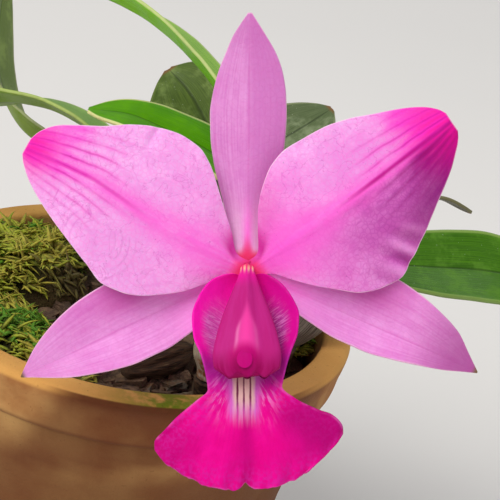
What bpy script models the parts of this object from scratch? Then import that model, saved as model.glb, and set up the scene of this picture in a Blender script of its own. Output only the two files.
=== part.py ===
# A potted cattleya orchid: clay pot, bark, moss, creeping stem with bulbs and leaves, one open bloom.
# Metres, +Z up. The origin is the middle of the pot's base, and the bloom faces -Y.

import math
import random

import bmesh
import bpy
from mathutils import Matrix, Vector, noise

MM = 0.001
FIT = 0.0003  # gap between pieces that touch

# Pot
POT_HEIGHT = 0.092
RIM_RADIUS = 0.061
BASE_RADIUS = 0.0445
FLOOR_THICK = 0.008
WALL_THICK = 0.0065
COLLAR_HEIGHT = 0.013
COLLAR_STEP = 0.0022
COLLAR_TAPER = 0.0018
RIM_THICK = 0.0078
RIM_ROUND = 0.0018
EDGE_ROUND = 0.0008
POT_SIDES = 48
WALL_TOP = RIM_RADIUS - COLLAR_TAPER - COLLAR_STEP
DRAIN_COUNT = 3
DRAIN_RADIUS = 0.0055
DRAIN_RING = 0.022
CLAY = (0.46, 0.25, 0.11)

# Filling
CROCK_RADIUS = 0.0145
CROCK_RING = 0.0205
CROCK_THICK = 0.0048
MIX_BOTTOM = 0.0172
MIX_TOP = 0.0805
MIX_RADIUS = WALL_TOP - WALL_THICK - 2 * FIT
CHIP_COUNT = 95
CHIP_TRIES = 9000
CHIP_LENGTH = (0.0055, 0.0115)
CHIP_WIDTH = (0.004, 0.0068)
CHIP_THICK = (0.0028, 0.004)
CHIP_APART = 0.005
CHIP_CLEAR = 0.0006

# Moss cushions: first and last angle round the pot in degrees, then inner and outer radius and height
MOSSES = {
    "moss_back_left": (126, 189, 17, 49.8, 8.6),
    "moss_front_left": (191, 264, 25, 49.8, 5.5),
    "moss_right": (2, 27, 41.5, 49.8, 4.5),
}
MOSS_EDGE = 1.2

# Creeping stem: x and y along the bark, in millimetres
STEM_RADIUS = 0.0036
STEM_HEIGHT = MIX_TOP + FIT + STEM_RADIUS
SEAT_RADIUS = 0.0046
SEAT_TOP = STEM_HEIGHT + 0.0044
ROOT_RADIUS = 0.0012
ROOT_DEPTH = 0.010
STEM_MAIN = [
    (-18, 41), (-14, 39), (-7, 36.5), (2, 33), (10, 26), (16, 18),
    (23, 12), (28, 4), (27, -12), (25, -30), (25, -37),
]
STEM_BRANCHES = [
    [(2, 33), (-3, 25), (-6, 15), (-7, 11)],
    [(28, 4), (34, 0), (42, -6), (45, -8)],
    [(16, 18), (24, 23), (31, 26), (35, 27)],
]
ROOTS = [
    [(27, -12), (21, -6), (12, -8), (3, -11)],
    [(25, -30), (17, -36), (12, -43)],
    [(-14, 39), (-10, 31), (-12, 23)],
    [(-6, 15), (-11, 7), (-13, -4), (-9, -14)],
    [(28, 4), (17, 3), (8, -2)],
    [(42, -6), (44, -18), (38, -27)],
    [(2, 33), (6, 40), (14, 43)],
    [(31, 26), (34, 18), (36, 10)],
]

# Bulbs: foot x, y, then the top's x, y, z and the greatest radius, in millimetres
BULB_ROWS = 9
BULB_RIBS = 8
BULB_FOOT_RADIUS = 3.3
BULB_TOP_RADIUS = 3.0
BULBS = [
    ((16, 18), (28, 14, 124), 6.4),
    ((-6, 15), (-4, 12, 114), 6.2),
    ((-14, 39), (-20, 35, 104), 5.6),
    ((28, 4), (36, 1, 114), 6.6),
    ((2, 33), (14, 41, 116), 6.6),
    ((42, -6), (53, -2, 109), 6.2),
    ((31, 26), (42, 35, 112), 6.0),
]
BULB_OUTLINE = [(0, 0.0), (0.14, 0.55), (0.4, 1.0), (0.62, 0.95), (0.84, 0.45), (1, 0.0)]
OLD_BULB = [(4, -33), (11, -24), (19, -14)]
OLD_BULB_ENDS = 1.6
OLD_BULB_SWELL = 3.2
OLD_BULB_RIBS = 6
OLD_BULB_REACH = 0.0052

# Leaves: the bulb that carries each, its foot's shift on the bulb, its midrib's points from that foot,
# the way its upper face looks, half its width and how far it folds up; in millimetres
LEAF_THICK = 0.0013
LEAF_FOOT = 0.45 * MM
LEAF_ROWS = 14
LEAF_COLUMNS = 6
LEAF_OUTLINE = [
    (0, 0.14), (0.05, 0.15), (0.12, 0.3), (0.24, 0.66), (0.4, 0.93), (0.55, 1.0),
    (0.7, 0.93), (0.84, 0.7), (0.94, 0.4), (1, 0.08),
]
LEAVES = {
    "leaf_1": {
        "bulb": 0, "shift": (0, 0), "face": (0.6, 0.14, 0.78), "half": 12.5, "fold": 0.45,
        "midrib": [
            (0, 0, 5), (-3, -4, 13), (-12, -6, 22), (-22, 0, 29), (-33, 5, 35),
            (-43, 10, 38), (-53, 15, 39), (-66, 20, 38),
        ],
    },
    "leaf_2": {
        "bulb": 1, "shift": (0, 0), "face": (0.25, 0.22, 0.9), "half": 10.5, "fold": 0.4,
        "midrib": [
            (0, 0, 4), (-4, -1, 8.5), (-10, 0, 13), (-19, 4, 16), (-29, 9, 17),
            (-39, 12, 16), (-51, 17, 11), (-63, 22, 4),
        ],
    },
    "leaf_3": {
        "bulb": 2, "shift": (0, 0), "face": (0.9, 0.1, 0.5), "half": 11.5, "fold": 0.35,
        "midrib": [
            (0, 0, 3.5), (-6, 4, 6), (-15, 10, 6.5), (-24, 16, 7.5), (-33, 24, 12.5),
            (-39, 31, 21), (-42, 38, 31), (-44, 46, 40), (-45, 52, 49),
        ],
    },
    "leaf_4": {
        "bulb": 3, "shift": (0, 0), "face": (0.2, -0.1, 1), "half": 13.0, "fold": 0.25,
        "midrib": [
            (0, 0, 4), (-5, -2, 11), (-14, -4, 18), (-24, -4, 23), (-35, -4, 26),
            (-46, -4, 28), (-56, -4, 27),
        ],
    },
    "leaf_5": {
        "bulb": 4, "shift": (0, 1.4), "face": (0.3, -0.9, 0.6), "half": 15.5, "fold": 0.25,
        "midrib": [(0, 0, 4), (-4, 2.6, 9.5), (-9, 6.5, 15), (-14.5, 10.5, 19.5), (-20.5, 14.5, 22.5)],
    },
    "leaf_6": {
        "bulb": 4, "shift": (0.3, -1.5), "face": (-0.3, -0.7, 0.9), "half": 11.0, "fold": 0.35,
        "midrib": [
            (0, 0, 3), (3.5, -0.8, 5.5), (9, -0.6, 8.5), (15, 1.8, 12.5), (22, 6.4, 17.6), (29, 12, 23),
        ],
    },
    "leaf_7": {
        "bulb": 5, "shift": (0, 0), "face": (-0.2, -0.75, 1), "half": 11.5, "fold": 0.4,
        "midrib": [(0, 0, 3.5), (4, 2, 5), (12, 4, 5.5), (24, 8, 6), (36, 13, 6), (51, 18, 5), (70, 24, 1)],
    },
    "leaf_8": {
        "bulb": 6, "shift": (0, 0), "face": (-0.08, 0.3, 0.83), "half": 7.5, "fold": 0.2,
        "midrib": [(0, 0, 4), (5, 1, 6.5), (12, 2, 7), (21, 4, 7), (29, 8, 9.5), (38, 10, 9.5), (48, 11, 7)],
    },
}

# Flowering stem: points up to the bloom, and its radius at shares of its length, in millimetres
FLOWER_STEM_FOOT = (25, -34)
FLOWER_STEM = [
    (25, -34, 89.1), (25, -34, 91), (23.6, -34.8, 96), (22.4, -37, 106), (23.2, -40, 116), (26, -44, 124.5),
]
FLOWER_STEM_RADII = [(0, 1.7), (0.5, 1.35), (0.75, 1.5), (0.9, 2.1), (1, 2.7)]
FLOWER_STEM_ROWS = 18
OVARY_LENGTH = 8.0
OVARY_DROP = 0.8  # how far the ovary's end lies below the bloom's middle
BRACT_RADIUS = 2.7
BRACT_SWELL = 1.3
BRACT_REACH = 0.5  # share of the stem that it hides
BRACT_THICK = 0.0006

# Bloom: its middle, and how far its face tips up and rolls from upright
FLOWER_AT = (0.0287, -0.0598, 0.1329)
FLOWER_TIP = math.radians(22.65)
FLOWER_ROLL = math.radians(12.4)
FLOWER_TURN = Matrix.Rotation(math.pi / 2 - FLOWER_TIP, 3, "X") @ Matrix.Rotation(FLOWER_ROLL, 3, "Z")
BLADE_THICK = 0.0008
PINK = (0.75, 0.25, 0.62)

# Depths toward the viewer of the claws, where the blades join the ovary, in millimetres
OVARY_LEVEL = -2.5
SEPAL_LEVEL = -1.8
PETAL_LEVEL = -0.7

# How far petals rise and sepals fall toward their tips, at shares of their length, in millimetres
PETAL_RISE = [(0, 0.0), (0.03, 0.05), (0.09, 1.1), (0.2, 2.4), (0.4, 3.5), (0.62, 4.0), (0.82, 3.6), (1, 2.4)]
SEPAL_FALL = [(0, 0.0), (0.04, 0.0), (0.3, -0.6), (0.6, -1.0), (0.85, -0.6), (1, 0.4)]

# Blade outlines: share of the length, reach to the left of the axis and to its right, in millimetres
DORSAL_OUTLINE = [
    (0, 1.3, 1.3), (0.05, 2.6, 2.6), (0.12, 4.0, 4.0), (0.21, 5.2, 5.2), (0.31, 6.6, 6.5),
    (0.4, 7.8, 7.6), (0.5, 8.6, 8.3), (0.6, 8.8, 8.6), (0.68, 8.2, 8.4), (0.76, 7.1, 7.7),
    (0.84, 5.4, 6.1), (0.91, 3.7, 3.8), (1, 0.4, 0.5),
]
LATERAL_LEFT_OUTLINE = [
    (0, 1.2, 1.2), (0.05, 2.2, 2.6), (0.12, 4.2, 5.0), (0.2, 5.9, 7.4), (0.3, 7.4, 9.4),
    (0.42, 8.4, 10.7), (0.53, 8.4, 10.8), (0.64, 7.6, 10.2), (0.73, 6.4, 9.0), (0.82, 4.9, 7.1),
    (0.9, 3.1, 5.1), (0.96, 1.5, 2.9), (1, 0.4, 0.6),
]
LATERAL_RIGHT_OUTLINE = [
    (0, 1.2, 1.2), (0.05, 2.6, 2.0), (0.12, 5.2, 3.2), (0.2, 7.8, 4.1), (0.3, 10.2, 5.2),
    (0.42, 11.7, 6.1), (0.54, 11.9, 6.1), (0.65, 11.0, 5.3), (0.75, 9.4, 4.2), (0.86, 6.8, 2.8),
    (0.93, 4.3, 1.7), (1, 0.5, 0.4),
]
PETAL_LEFT_OUTLINE = [
    (0, 1.0, 1.0), (0.04, 2.4, 1.8), (0.1, 7.0, 6.0), (0.16, 10.7, 9.4), (0.24, 13.9, 13.9),
    (0.31, 16.2, 17.5), (0.38, 17.4, 19.6), (0.46, 17.7, 20.1), (0.56, 15.4, 19.2), (0.66, 12.9, 17.0),
    (0.76, 10.3, 13.7), (0.86, 7.3, 11.0), (0.93, 4.6, 8.9), (0.98, 1.9, 5.9), (1, 0.3, 3.3),
]
PETAL_RIGHT_OUTLINE = [
    (0, 1.0, 1.0), (0.04, 1.8, 2.4), (0.1, 6.8, 7.0), (0.15, 10.8, 10.4), (0.22, 14.4, 14.2),
    (0.3, 17.1, 18.1), (0.38, 18.1, 19.9), (0.46, 17.8, 20.5), (0.55, 17.3, 18.3), (0.65, 15.9, 15.2),
    (0.76, 13.3, 11.3), (0.86, 10.9, 7.8), (0.94, 8.3, 4.3), (0.985, 5.9, 1.8), (1, 4.4, 0.2),
]
ROW_CROWD = 0.12  # how much closer a blade's rows stand toward its ends

# Lip rows: share along it, left edge u v, right edge u v, middle v, middle w, edge w, in millimetres
LIP_ROWS = [
    (0.00, -1.0, -2.3, 1.0, -2.3, -2.5, -0.7, -0.7),
    (0.05, -3.5, -2.3, 3.2, -2.3, -4.0, -0.2, 1.8),
    (0.12, -7.2, -3.2, 6.3, -3.4, -6.6, 1.2, 4.6),
    (0.20, -10.5, -6.6, 9.4, -6.3, -10.5, 3.0, 6.6),
    (0.29, -12.0, -11.2, 11.3, -10.8, -14.5, 4.8, 8.6),
    (0.38, -11.6, -15.4, 11.0, -14.4, -18.0, 6.6, 10.2),
    (0.46, -9.9, -19.6, 9.4, -18.8, -21.6, 8.4, 11.6),
    (0.54, -8.9, -23.6, 8.2, -22.8, -25.0, 10.2, 12.4),
    (0.61, -8.5, -26.8, 7.6, -26.1, -28.2, 11.4, 12.6),
    (0.68, -11.2, -29.6, 10.4, -28.7, -32.0, 12.4, 12.2),
    (0.76, -15.3, -33.1, 15.3, -31.2, -36.4, 13.0, 11.4),
    (0.84, -18.3, -36.2, 18.8, -32.6, -40.4, 12.9, 10.4),
    (0.92, -20.2, -38.6, 20.8, -35.4, -44.3, 12.2, 9.4),
    (0.97, -20.2, -40.2, 20.9, -37.0, -46.6, 11.6, 8.9),
    (1.00, -18.8, -42.0, 19.4, -38.6, -47.7, 11.2, 8.8),
]
LIP_CUTS = 18
LIP_COLUMNS = 12
LIP_FAN_START = 0.55  # share of the length where the front lobe begins to spread
LIP_FAN_LENGTH = 0.2
LIP_RUFFLE = 0.55
LIP_GROOVE = 0.9
LIP_CREST = 0.5
LIP_NOTCH = 1.1

# Column rows: share along it, v, w, half width, half thickness, in millimetres
COLUMN_ROWS = [
    (0.00, -1.0, 0.0, 1.5, 1.4),
    (0.08, -1.1, 1.6, 1.5, 1.4),
    (0.22, -3.1, 4.4, 2.2, 1.8),
    (0.38, -7.0, 7.0, 3.8, 2.3),
    (0.56, -11.4, 9.9, 5.5, 2.6),
    (0.72, -15.4, 12.2, 6.7, 2.7),
    (0.87, -19.4, 14.0, 7.4, 2.5),
    (0.96, -22.2, 15.0, 7.1, 2.0),
    (1.00, -23.6, 15.4, 5.6, 1.2),
]
COLUMN_RIDGE = [(0, 0.0), (0.3, 0.35), (0.9, 0.21), (1, 0.0)]
COLUMN_HOLLOW = 0.25
CAP_AT = 0.865  # share of the column where the anther cap lies
CAP_HALF = (1.9, 2.2, 1.3)
CAP_LIFT = 0.45
CAP_BELLY = 0.12


def in_mm(*values):
    return Vector(values) * MM


def smooth(stations, at, item=1):
    """Value of one item of the stations at a place along them, on a smooth curve that never overshoots."""
    last = len(stations) - 2
    first = next((i for i in range(last + 1) if at < stations[i + 1][0]), last)

    def rise(i):
        return (stations[i + 1][item] - stations[i][item]) / (stations[i + 1][0] - stations[i][0])

    def slope(i):
        if i == 0 or i == last + 1:
            return rise(min(i, last))
        before, after = rise(i - 1), rise(i)
        return 2 * before * after / (before + after) if before * after > 0 else 0.0

    step = stations[first + 1][0] - stations[first][0]
    x = (at - stations[first][0]) / step
    start, end = stations[first][item], stations[first + 1][item]
    bend = (x**3 - 2 * x**2 + x) * slope(first) + (x**3 - x**2) * slope(first + 1)
    return start + (end - start) * (3 * x**2 - 2 * x**3) + bend * step


def smooth_route(points):
    """A function that gives the point at a share of the way along a smooth curve through the points."""
    reach = [0.0]
    for before, after in zip(points, points[1:]):
        reach.append(reach[-1] + (Vector(after) - Vector(before)).length)
    stations = [(r / reach[-1], *p) for r, p in zip(reach, points)]
    return lambda at: Vector([smooth(stations, at, item) for item in range(1, len(points[0]) + 1)])


def heading(route, at, step):
    """The way that a route runs at a share of its length."""
    return (route(min(1, at + step)) - route(max(0, at - step))).normalized()


def material(name, rgb, roughness):
    made = bpy.data.materials.new(name)
    made.use_nodes = True
    shader = made.node_tree.nodes["Principled BSDF"]
    shader.inputs["Base Color"].default_value = (*rgb, 1)
    shader.inputs["Roughness"].default_value = roughness
    shader.inputs["Metallic"].default_value = 0
    return made


def add(name, data, collection, rgb=CLAY, roughness=0.8):
    obj = bpy.data.objects.new(name, data)
    collection.objects.link(obj)
    data.materials.append(material(name, rgb, roughness))
    return obj


def mesh_from(name, bm):
    mesh = bpy.data.meshes.new(name)
    bm.to_mesh(mesh)
    bm.free()
    return mesh


def thicken(obj, thickness):
    shell = obj.modifiers.new("Thickness", "SOLIDIFY")
    shell.thickness = thickness
    shell.offset = 0
    return obj


def solid_mesh(obj):
    """Replaces an object by its evaluated mesh, with a curve's caps welded on."""
    bpy.context.view_layer.update()
    mesh = bpy.data.meshes.new_from_object(obj.evaluated_get(bpy.context.evaluated_depsgraph_get()))
    bm = bmesh.new()
    bm.from_mesh(mesh)
    bmesh.ops.remove_doubles(bm, verts=bm.verts, dist=0.00001)
    bm.to_mesh(mesh)
    bm.free()
    made = bpy.data.objects.new(obj.name + "_solid", mesh)
    made.matrix_world = obj.matrix_world
    for collection in obj.users_collection:
        collection.objects.link(made)
    name = obj.name
    bpy.data.objects.remove(obj)
    made.name = name
    return made


def combine(obj, group, operation):
    """Joins a collection's objects to an object, or cuts them from it, and removes them."""
    name = obj.name
    boolean = obj.modifiers.new(operation.title(), "BOOLEAN")
    boolean.operation = operation
    boolean.operand_type = "COLLECTION"
    boolean.collection = group
    made = solid_mesh(obj)
    for other in list(group.objects):
        bpy.data.objects.remove(other)
    made.name = name
    return made


def cone(sides, base_radius, top_radius, depth, place):
    bm = bmesh.new()
    bmesh.ops.create_cone(
        bm, cap_ends=True, segments=sides, radius1=base_radius, radius2=top_radius, depth=depth, matrix=place
    )
    return bm


def grid(rows, columns, place):
    """A sheet of rows along s (0 to 1) and columns across t (-1 to 1), bent by a function of both."""
    bm = bmesh.new()
    bmesh.ops.create_grid(bm, x_segments=rows, y_segments=columns, size=0.5)
    for vertex in bm.verts:
        vertex.co = place(vertex.co.x + 0.5, vertex.co.y * 2)
    return bm


def sheet(rows, columns, place):
    """A bent sheet in triangles, so that both faces of its solid fold alike."""
    bm = grid(rows, columns, place)
    bmesh.ops.triangulate(bm, faces=bm.faces, quad_method="ALTERNATE")
    return bm


def tube(rows, sides, place):
    """A closed tube with flat ends, from a function of s (0 to 1) and the angle round it."""
    bm = grid(rows, sides, lambda s, t: place(s, math.pi * (t + 1)))
    bmesh.ops.remove_doubles(bm, verts=bm.verts, dist=0.000001)
    bmesh.ops.holes_fill(bm, edges=bm.edges, sides=0)
    bmesh.ops.recalc_face_normals(bm, faces=bm.faces)
    return bm


def wire(name, collection, points, radii, sides, rgb, roughness):
    """A tube along points in metres, with its own radius at each."""
    curve = bpy.data.curves.new(name, "CURVE")
    curve.dimensions = "3D"
    curve.bevel_depth = 1.0
    curve.bevel_resolution = sides // 2 - 2
    curve.use_fill_caps = True
    spline = curve.splines.new("POLY")
    spline.points.add(len(points) - 1)
    for point, place, radius in zip(spline.points, points, radii):
        point.co = (*place, 1)
        point.radius = radius
    return solid_mesh(add(name, curve, collection, rgb, roughness))


def turned(name, profile, collection, sides, rgb, roughness):
    """A profile of (radius, height) pairs, down its outer side, turned round Z."""
    bm = bmesh.new()
    corners = [bm.verts.new((radius, 0, height)) for radius, height in profile]
    for before, after in zip(corners, corners[1:]):
        bm.edges.new((before, after))
    obj = add(name, mesh_from(name, bm), collection, rgb, roughness)
    screw = obj.modifiers.new("Turn", "SCREW")
    screw.steps = sides
    screw.render_steps = sides
    screw.use_merge_vertices = True
    screw.merge_threshold = 0.00005
    return obj


def inner_radius(height):
    """Radius of the pot's inside at a height."""
    shoulder = POT_HEIGHT - COLLAR_HEIGHT
    outer = BASE_RADIUS + (WALL_TOP - BASE_RADIUS) * min(height, shoulder) / shoulder
    return outer - WALL_THICK


def make_pot(collection, cutters):
    shoulder = POT_HEIGHT - COLLAR_HEIGHT
    inside_top = RIM_RADIUS - RIM_THICK
    floor_round = 0.003
    profile = [
        (0, FLOOR_THICK),
        (inner_radius(FLOOR_THICK) - floor_round, FLOOR_THICK),
        (inner_radius(FLOOR_THICK + floor_round), FLOOR_THICK + floor_round),
        (inner_radius(shoulder), shoulder),
        (inside_top, POT_HEIGHT - RIM_ROUND),
        (inside_top + 0.3 * RIM_ROUND, POT_HEIGHT - 0.3 * RIM_ROUND),
        (inside_top + RIM_ROUND, POT_HEIGHT),
        (RIM_RADIUS - 1.2 * RIM_ROUND, POT_HEIGHT),
        (RIM_RADIUS - 0.4 * RIM_ROUND, POT_HEIGHT - 0.35 * RIM_ROUND),
        (RIM_RADIUS, POT_HEIGHT - RIM_ROUND),
        (RIM_RADIUS - COLLAR_TAPER, shoulder + EDGE_ROUND),
        (RIM_RADIUS - COLLAR_TAPER - EDGE_ROUND, shoulder),
        (WALL_TOP + 0.5 * EDGE_ROUND, shoulder),
        (WALL_TOP, shoulder - EDGE_ROUND),
        (BASE_RADIUS + 0.75 * EDGE_ROUND, 2.5 * EDGE_ROUND),
        (BASE_RADIUS - 2 * EDGE_ROUND, 0),
        (0, 0),
    ]
    pot = turned("pot", profile, collection, POT_SIDES, CLAY, 0.8)
    for number in range(DRAIN_COUNT):
        angle = math.radians(90 + 360 / DRAIN_COUNT * number)
        x, y = DRAIN_RING * math.cos(angle), DRAIN_RING * math.sin(angle)
        place = Matrix.Translation((x, y, FLOOR_THICK / 2))
        bm = cone(16, DRAIN_RADIUS, DRAIN_RADIUS, 3 * FLOOR_THICK, place)
        cutter = add(f"drain_cutter_{number}", mesh_from("drain_cutter", bm), cutters)
        cutter.hide_render = True
        cutter.display_type = "WIRE"
        cut = pot.modifiers.new(f"Drain {number}", "BOOLEAN")
        cut.operation = "DIFFERENCE"
        cut.object = cutter
    pot.data.shade_smooth()
    return pot


def make_crocks(collection, loose):
    """A shard over each drain hole and one that lies across them."""
    angles = [math.radians(90 + 360 / DRAIN_COUNT * number) for number in range(DRAIN_COUNT)]
    places = [(CROCK_RING * math.cos(angle), CROCK_RING * math.sin(angle), 0) for angle in angles]
    places.append((0.001, -0.001, 0.6 * CROCK_THICK))
    base = FLOOR_THICK + FIT + CROCK_THICK / 2
    for number, (x, y, lift) in enumerate(places):
        place = Matrix.Translation((x, y, base + lift)) @ Matrix.Rotation(number, 4, "Z")
        bm = cone(6 - number % 2, CROCK_RADIUS, 0.92 * CROCK_RADIUS, CROCK_THICK, place)
        name = f"shard_{number}" if number else "drainage_crocks"
        shard = add(name, mesh_from("shard", bm), loose if number else collection)
        crocks = crocks if number else shard
    return combine(crocks, loose, "UNION")


def near_route(x, y, route, reach):
    """Whether a point of the bark's surface lies within reach of a route of points in millimetres."""
    here = Vector((x, y))
    for start, end in zip(route, route[1:]):
        a, b = in_mm(*start), in_mm(*end)
        share = max(0, min(1, (here - a).dot(b - a) / (b - a).length_squared))
        if (here - a.lerp(b, share)).length < reach:
            return True
    return False


def under_moss(x, y, margin):
    radius, angle = math.hypot(x, y), math.degrees(math.atan2(y, x))
    slack = math.degrees(margin / max(radius, 0.01))
    for start, end, inner, outer, _ in MOSSES.values():
        turn = (angle - start) % 360
        within = turn < end - start + slack or turn > 360 - slack
        if within and inner * MM - margin < radius < outer * MM + margin:
            return True
    return False


def lies_free(x, y, reach):
    """Whether a chip of this reach, at this place on the bark, touches nothing that lies there."""
    if math.hypot(x, y) + reach > MIX_RADIUS or under_moss(x, y, reach + CHIP_CLEAR):
        return False
    wide = reach + STEM_RADIUS + CHIP_CLEAR
    narrow = reach + ROOT_RADIUS + CHIP_CLEAR
    if any(near_route(x, y, route, wide) for route in [STEM_MAIN, *STEM_BRANCHES]):
        return False
    if any(near_route(x, y, route, narrow) for route in ROOTS):
        return False
    return not near_route(x, y, OLD_BULB, reach + OLD_BULB_REACH)


def add_chip(x, y, size, draw, loose):
    """A rough block of bark, half sunk in the bed."""
    bm = bmesh.new()
    bmesh.ops.create_cube(bm, size=1)
    for vertex in bm.verts:
        vertex.co = Vector([c * s * draw.uniform(0.75, 1.0) for c, s in zip(vertex.co, size)])
    turn = Matrix.Rotation(draw.uniform(0, math.pi), 4, "Z")
    tip = Matrix.Rotation(draw.uniform(-0.3, 0.3), 4, "X")
    lean = Matrix.Rotation(draw.uniform(-0.25, 0.25), 4, "Y")
    place = Matrix.Translation((x, y, MIX_TOP + draw.uniform(-0.0002, 0.0011)))
    bmesh.ops.triangulate(bm, faces=bm.faces)
    bm.transform(place @ turn @ tip @ lean)
    bmesh.ops.recalc_face_normals(bm, faces=bm.faces)
    add("chip", mesh_from("chip", bm), loose)


def make_mix(collection, loose):
    """The bark: one body with chips proud of it and plain holes for the roots."""
    profile = [
        (0, MIX_TOP),
        (MIX_RADIUS, MIX_TOP),
        (inner_radius(MIX_BOTTOM) - FIT, MIX_BOTTOM),
        (0, MIX_BOTTOM),
    ]
    mix = turned("bark_mix", profile, collection, POT_SIDES // 2, (0.12, 0.08, 0.05), 0.9)
    draw = random.Random(12)
    placed = []
    for _ in range(CHIP_TRIES):
        radius = MIX_RADIUS * math.sqrt(draw.random())
        angle = draw.uniform(0, 2 * math.pi)
        here = Vector((radius * math.cos(angle), radius * math.sin(angle)))
        size = [draw.uniform(*span) for span in (CHIP_LENGTH, CHIP_WIDTH, CHIP_THICK)]
        crowded = any((here - other).length < CHIP_APART for other in placed)
        if crowded or not lies_free(*here, 0.58 * size[0]):
            continue
        placed.append(here)
        add_chip(*here, size, draw, loose)
        if len(placed) == CHIP_COUNT:
            break
    mix = combine(mix, loose, "UNION")
    hole = ROOT_RADIUS + 2 * FIT
    for route in ROOTS:
        place = Matrix.Translation((*in_mm(*route[-1]), MIX_TOP))
        add("root_hole", mesh_from("root_hole", cone(8, hole, hole, 2 * ROOT_DEPTH + 0.002, place)), loose)
    return combine(mix, loose, "DIFFERENCE")


def make_moss(name, collection):
    """A low cushion with a lumpy top and a flat underside on the bark."""
    start, end, inner, outer, height = MOSSES[name]
    middle = inner + (outer - inner) * 0.75
    base = MIX_TOP + FIT

    def place(s, t):
        angle = math.radians(start + (end - start) * s)
        off_middle = abs(2 * s - 1) ** 3
        edge = inner + (outer - inner) * (t + 1) / 2
        radius = middle + (edge - middle) * (1 - 0.6 * off_middle)
        x, y = radius * math.cos(angle), radius * math.sin(angle)
        fall = 0.85 if t < 0 else 0.1
        swell = (1 - off_middle) * (1 - fall * abs(t) ** 3)
        lumps = noise.noise(Vector((x, y, 3.1)) * 0.32) * 1.5 + noise.noise(Vector((x, y, 9.7)) * 0.12) * 1.6
        return in_mm(x, y, MOSS_EDGE + max(0.0, (height + lumps) * swell)) + Vector((0, 0, base))

    rows = max(8, round((end - start) * outer / 200))
    bm = grid(rows, max(5, round((outer - inner) / 3)), place)
    made = bmesh.ops.extrude_face_region(bm, geom=bm.faces[:])
    lower = [item for item in made["geom"] if isinstance(item, bmesh.types.BMVert)]
    for vertex in lower:
        vertex.co.z = base
    flat = [edge for edge in bm.edges if all(abs(v.co.z - base) < 0.00001 for v in edge.verts)]
    bmesh.ops.dissolve_limit(bm, angle_limit=0.01, verts=lower, edges=flat)
    bmesh.ops.recalc_face_normals(bm, faces=bm.faces)
    bmesh.ops.triangulate(bm, faces=bm.faces)
    return add(name, mesh_from(name, bm), collection, (0.2, 0.23, 0.04), 0.95)


def make_creeping_stem(name, route, height, collection):
    """A thick stem, ringed by its joints, that lies along the bark."""
    place = smooth_route(route)
    count = 2 * len(route)
    points = []
    radii = []
    for i in range(count + 1):
        points.append(Vector((*(place(i / count) * MM), height)))
        ring = 0.94 + 0.05 * math.cos(2.2 * i)
        radii.append(STEM_RADIUS * (ring if 0 < i < count else ring - 0.25))
    return wire(name, collection, points, radii, 8, (0.22, 0.17, 0.09), 0.75)


def make_root(route, collection):
    """A root runs from the stem along the bark and goes down into its hole."""
    place = smooth_route(route)
    count = 2 * len(route)
    low = MIX_TOP + FIT + ROOT_RADIUS
    points = []
    for i in range(count + 1):
        at = i / count
        lift = (STEM_HEIGHT - low - 2 * FIT) * max(0, 1 - 4 * at) ** 2
        points.append(Vector((*(place(at) * MM), low + lift + FIT * math.sin(9 * at) ** 2)))
    foot = points[-1].copy()
    points[-1] += (points[-2] - foot).normalized() * 0.0004
    points += [foot + Vector((0, 0, -ROOT_RADIUS)), foot + Vector((0, 0, 0.001 - ROOT_DEPTH))]
    return wire("root", collection, points, [ROOT_RADIUS] * len(points), 6, (0.22, 0.17, 0.09), 0.75)


def make_rhizome(collection, loose):
    """The creeping stem with its branches, seats and roots, joined as one body."""
    rhizome = make_creeping_stem("rhizome", STEM_MAIN, STEM_HEIGHT, collection)
    for number, route in enumerate(STEM_BRANCHES):
        make_creeping_stem("branch", route, STEM_HEIGHT - (number + 1) * 0.00012, loose)
    seat_depth = SEAT_TOP - STEM_HEIGHT + 0.001
    for x, y in [*(foot for foot, _, _ in BULBS), FLOWER_STEM_FOOT]:
        place = Matrix.Translation((x * MM, y * MM, SEAT_TOP - seat_depth / 2))
        add("seat", mesh_from("seat", cone(12, 0.8 * SEAT_RADIUS, SEAT_RADIUS, seat_depth, place)), loose)
    for route in ROOTS:
        make_root(route, loose)
    return combine(rhizome, loose, "UNION")


def make_bulb(name, foot, top, girth, collection):
    """A ribbed bulb that stands on its flat seat and leans over to its leaf."""
    start = in_mm(*foot, 0) + Vector((0, 0, SEAT_TOP + FIT))
    lean = in_mm(*top) - start

    def place(s, angle):
        ends = BULB_FOOT_RADIUS + (BULB_TOP_RADIUS - BULB_FOOT_RADIUS) * s
        swell = smooth(BULB_OUTLINE, s)
        radius = (ends + (girth - ends) * swell) * (1 + 0.05 * swell * math.cos(BULB_RIBS * angle))
        drift = s + 0.12 * math.sin(math.pi * s)
        middle = start + Vector((lean.x * drift, lean.y * drift, lean.z * s))
        return middle + in_mm(radius * math.cos(angle), radius * math.sin(angle), 0)

    bm = tube(BULB_ROWS, 2 * BULB_RIBS, place)
    return add(name, mesh_from(name, bm), collection, (0.33, 0.36, 0.2), 0.6)


def make_old_bulb(collection):
    """The shrivelled bulb lies on the bark."""
    route = smooth_route(OLD_BULB)
    lift = (OLD_BULB_ENDS + OLD_BULB_SWELL) * MM

    def place(s, angle):
        here = route(s) * MM
        ahead = heading(route, s, 0.02)
        rib = 1 + 0.08 * math.cos(OLD_BULB_RIBS * angle)
        radius = (OLD_BULB_ENDS + OLD_BULB_SWELL * math.sin(math.pi * s) ** 0.7) * rib * MM
        side = Vector((-ahead.y, ahead.x)) * radius * math.cos(angle)
        rise = max(radius * math.sin(angle), FIT - lift)
        return Vector((here.x + side.x, here.y + side.y, MIX_TOP + FIT + lift + rise))

    bm = tube(9, 2 * OLD_BULB_RIBS, place)
    return add("old_pseudobulb", mesh_from("old_pseudobulb", bm), collection, (0.16, 0.1, 0.06), 0.8)


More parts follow.
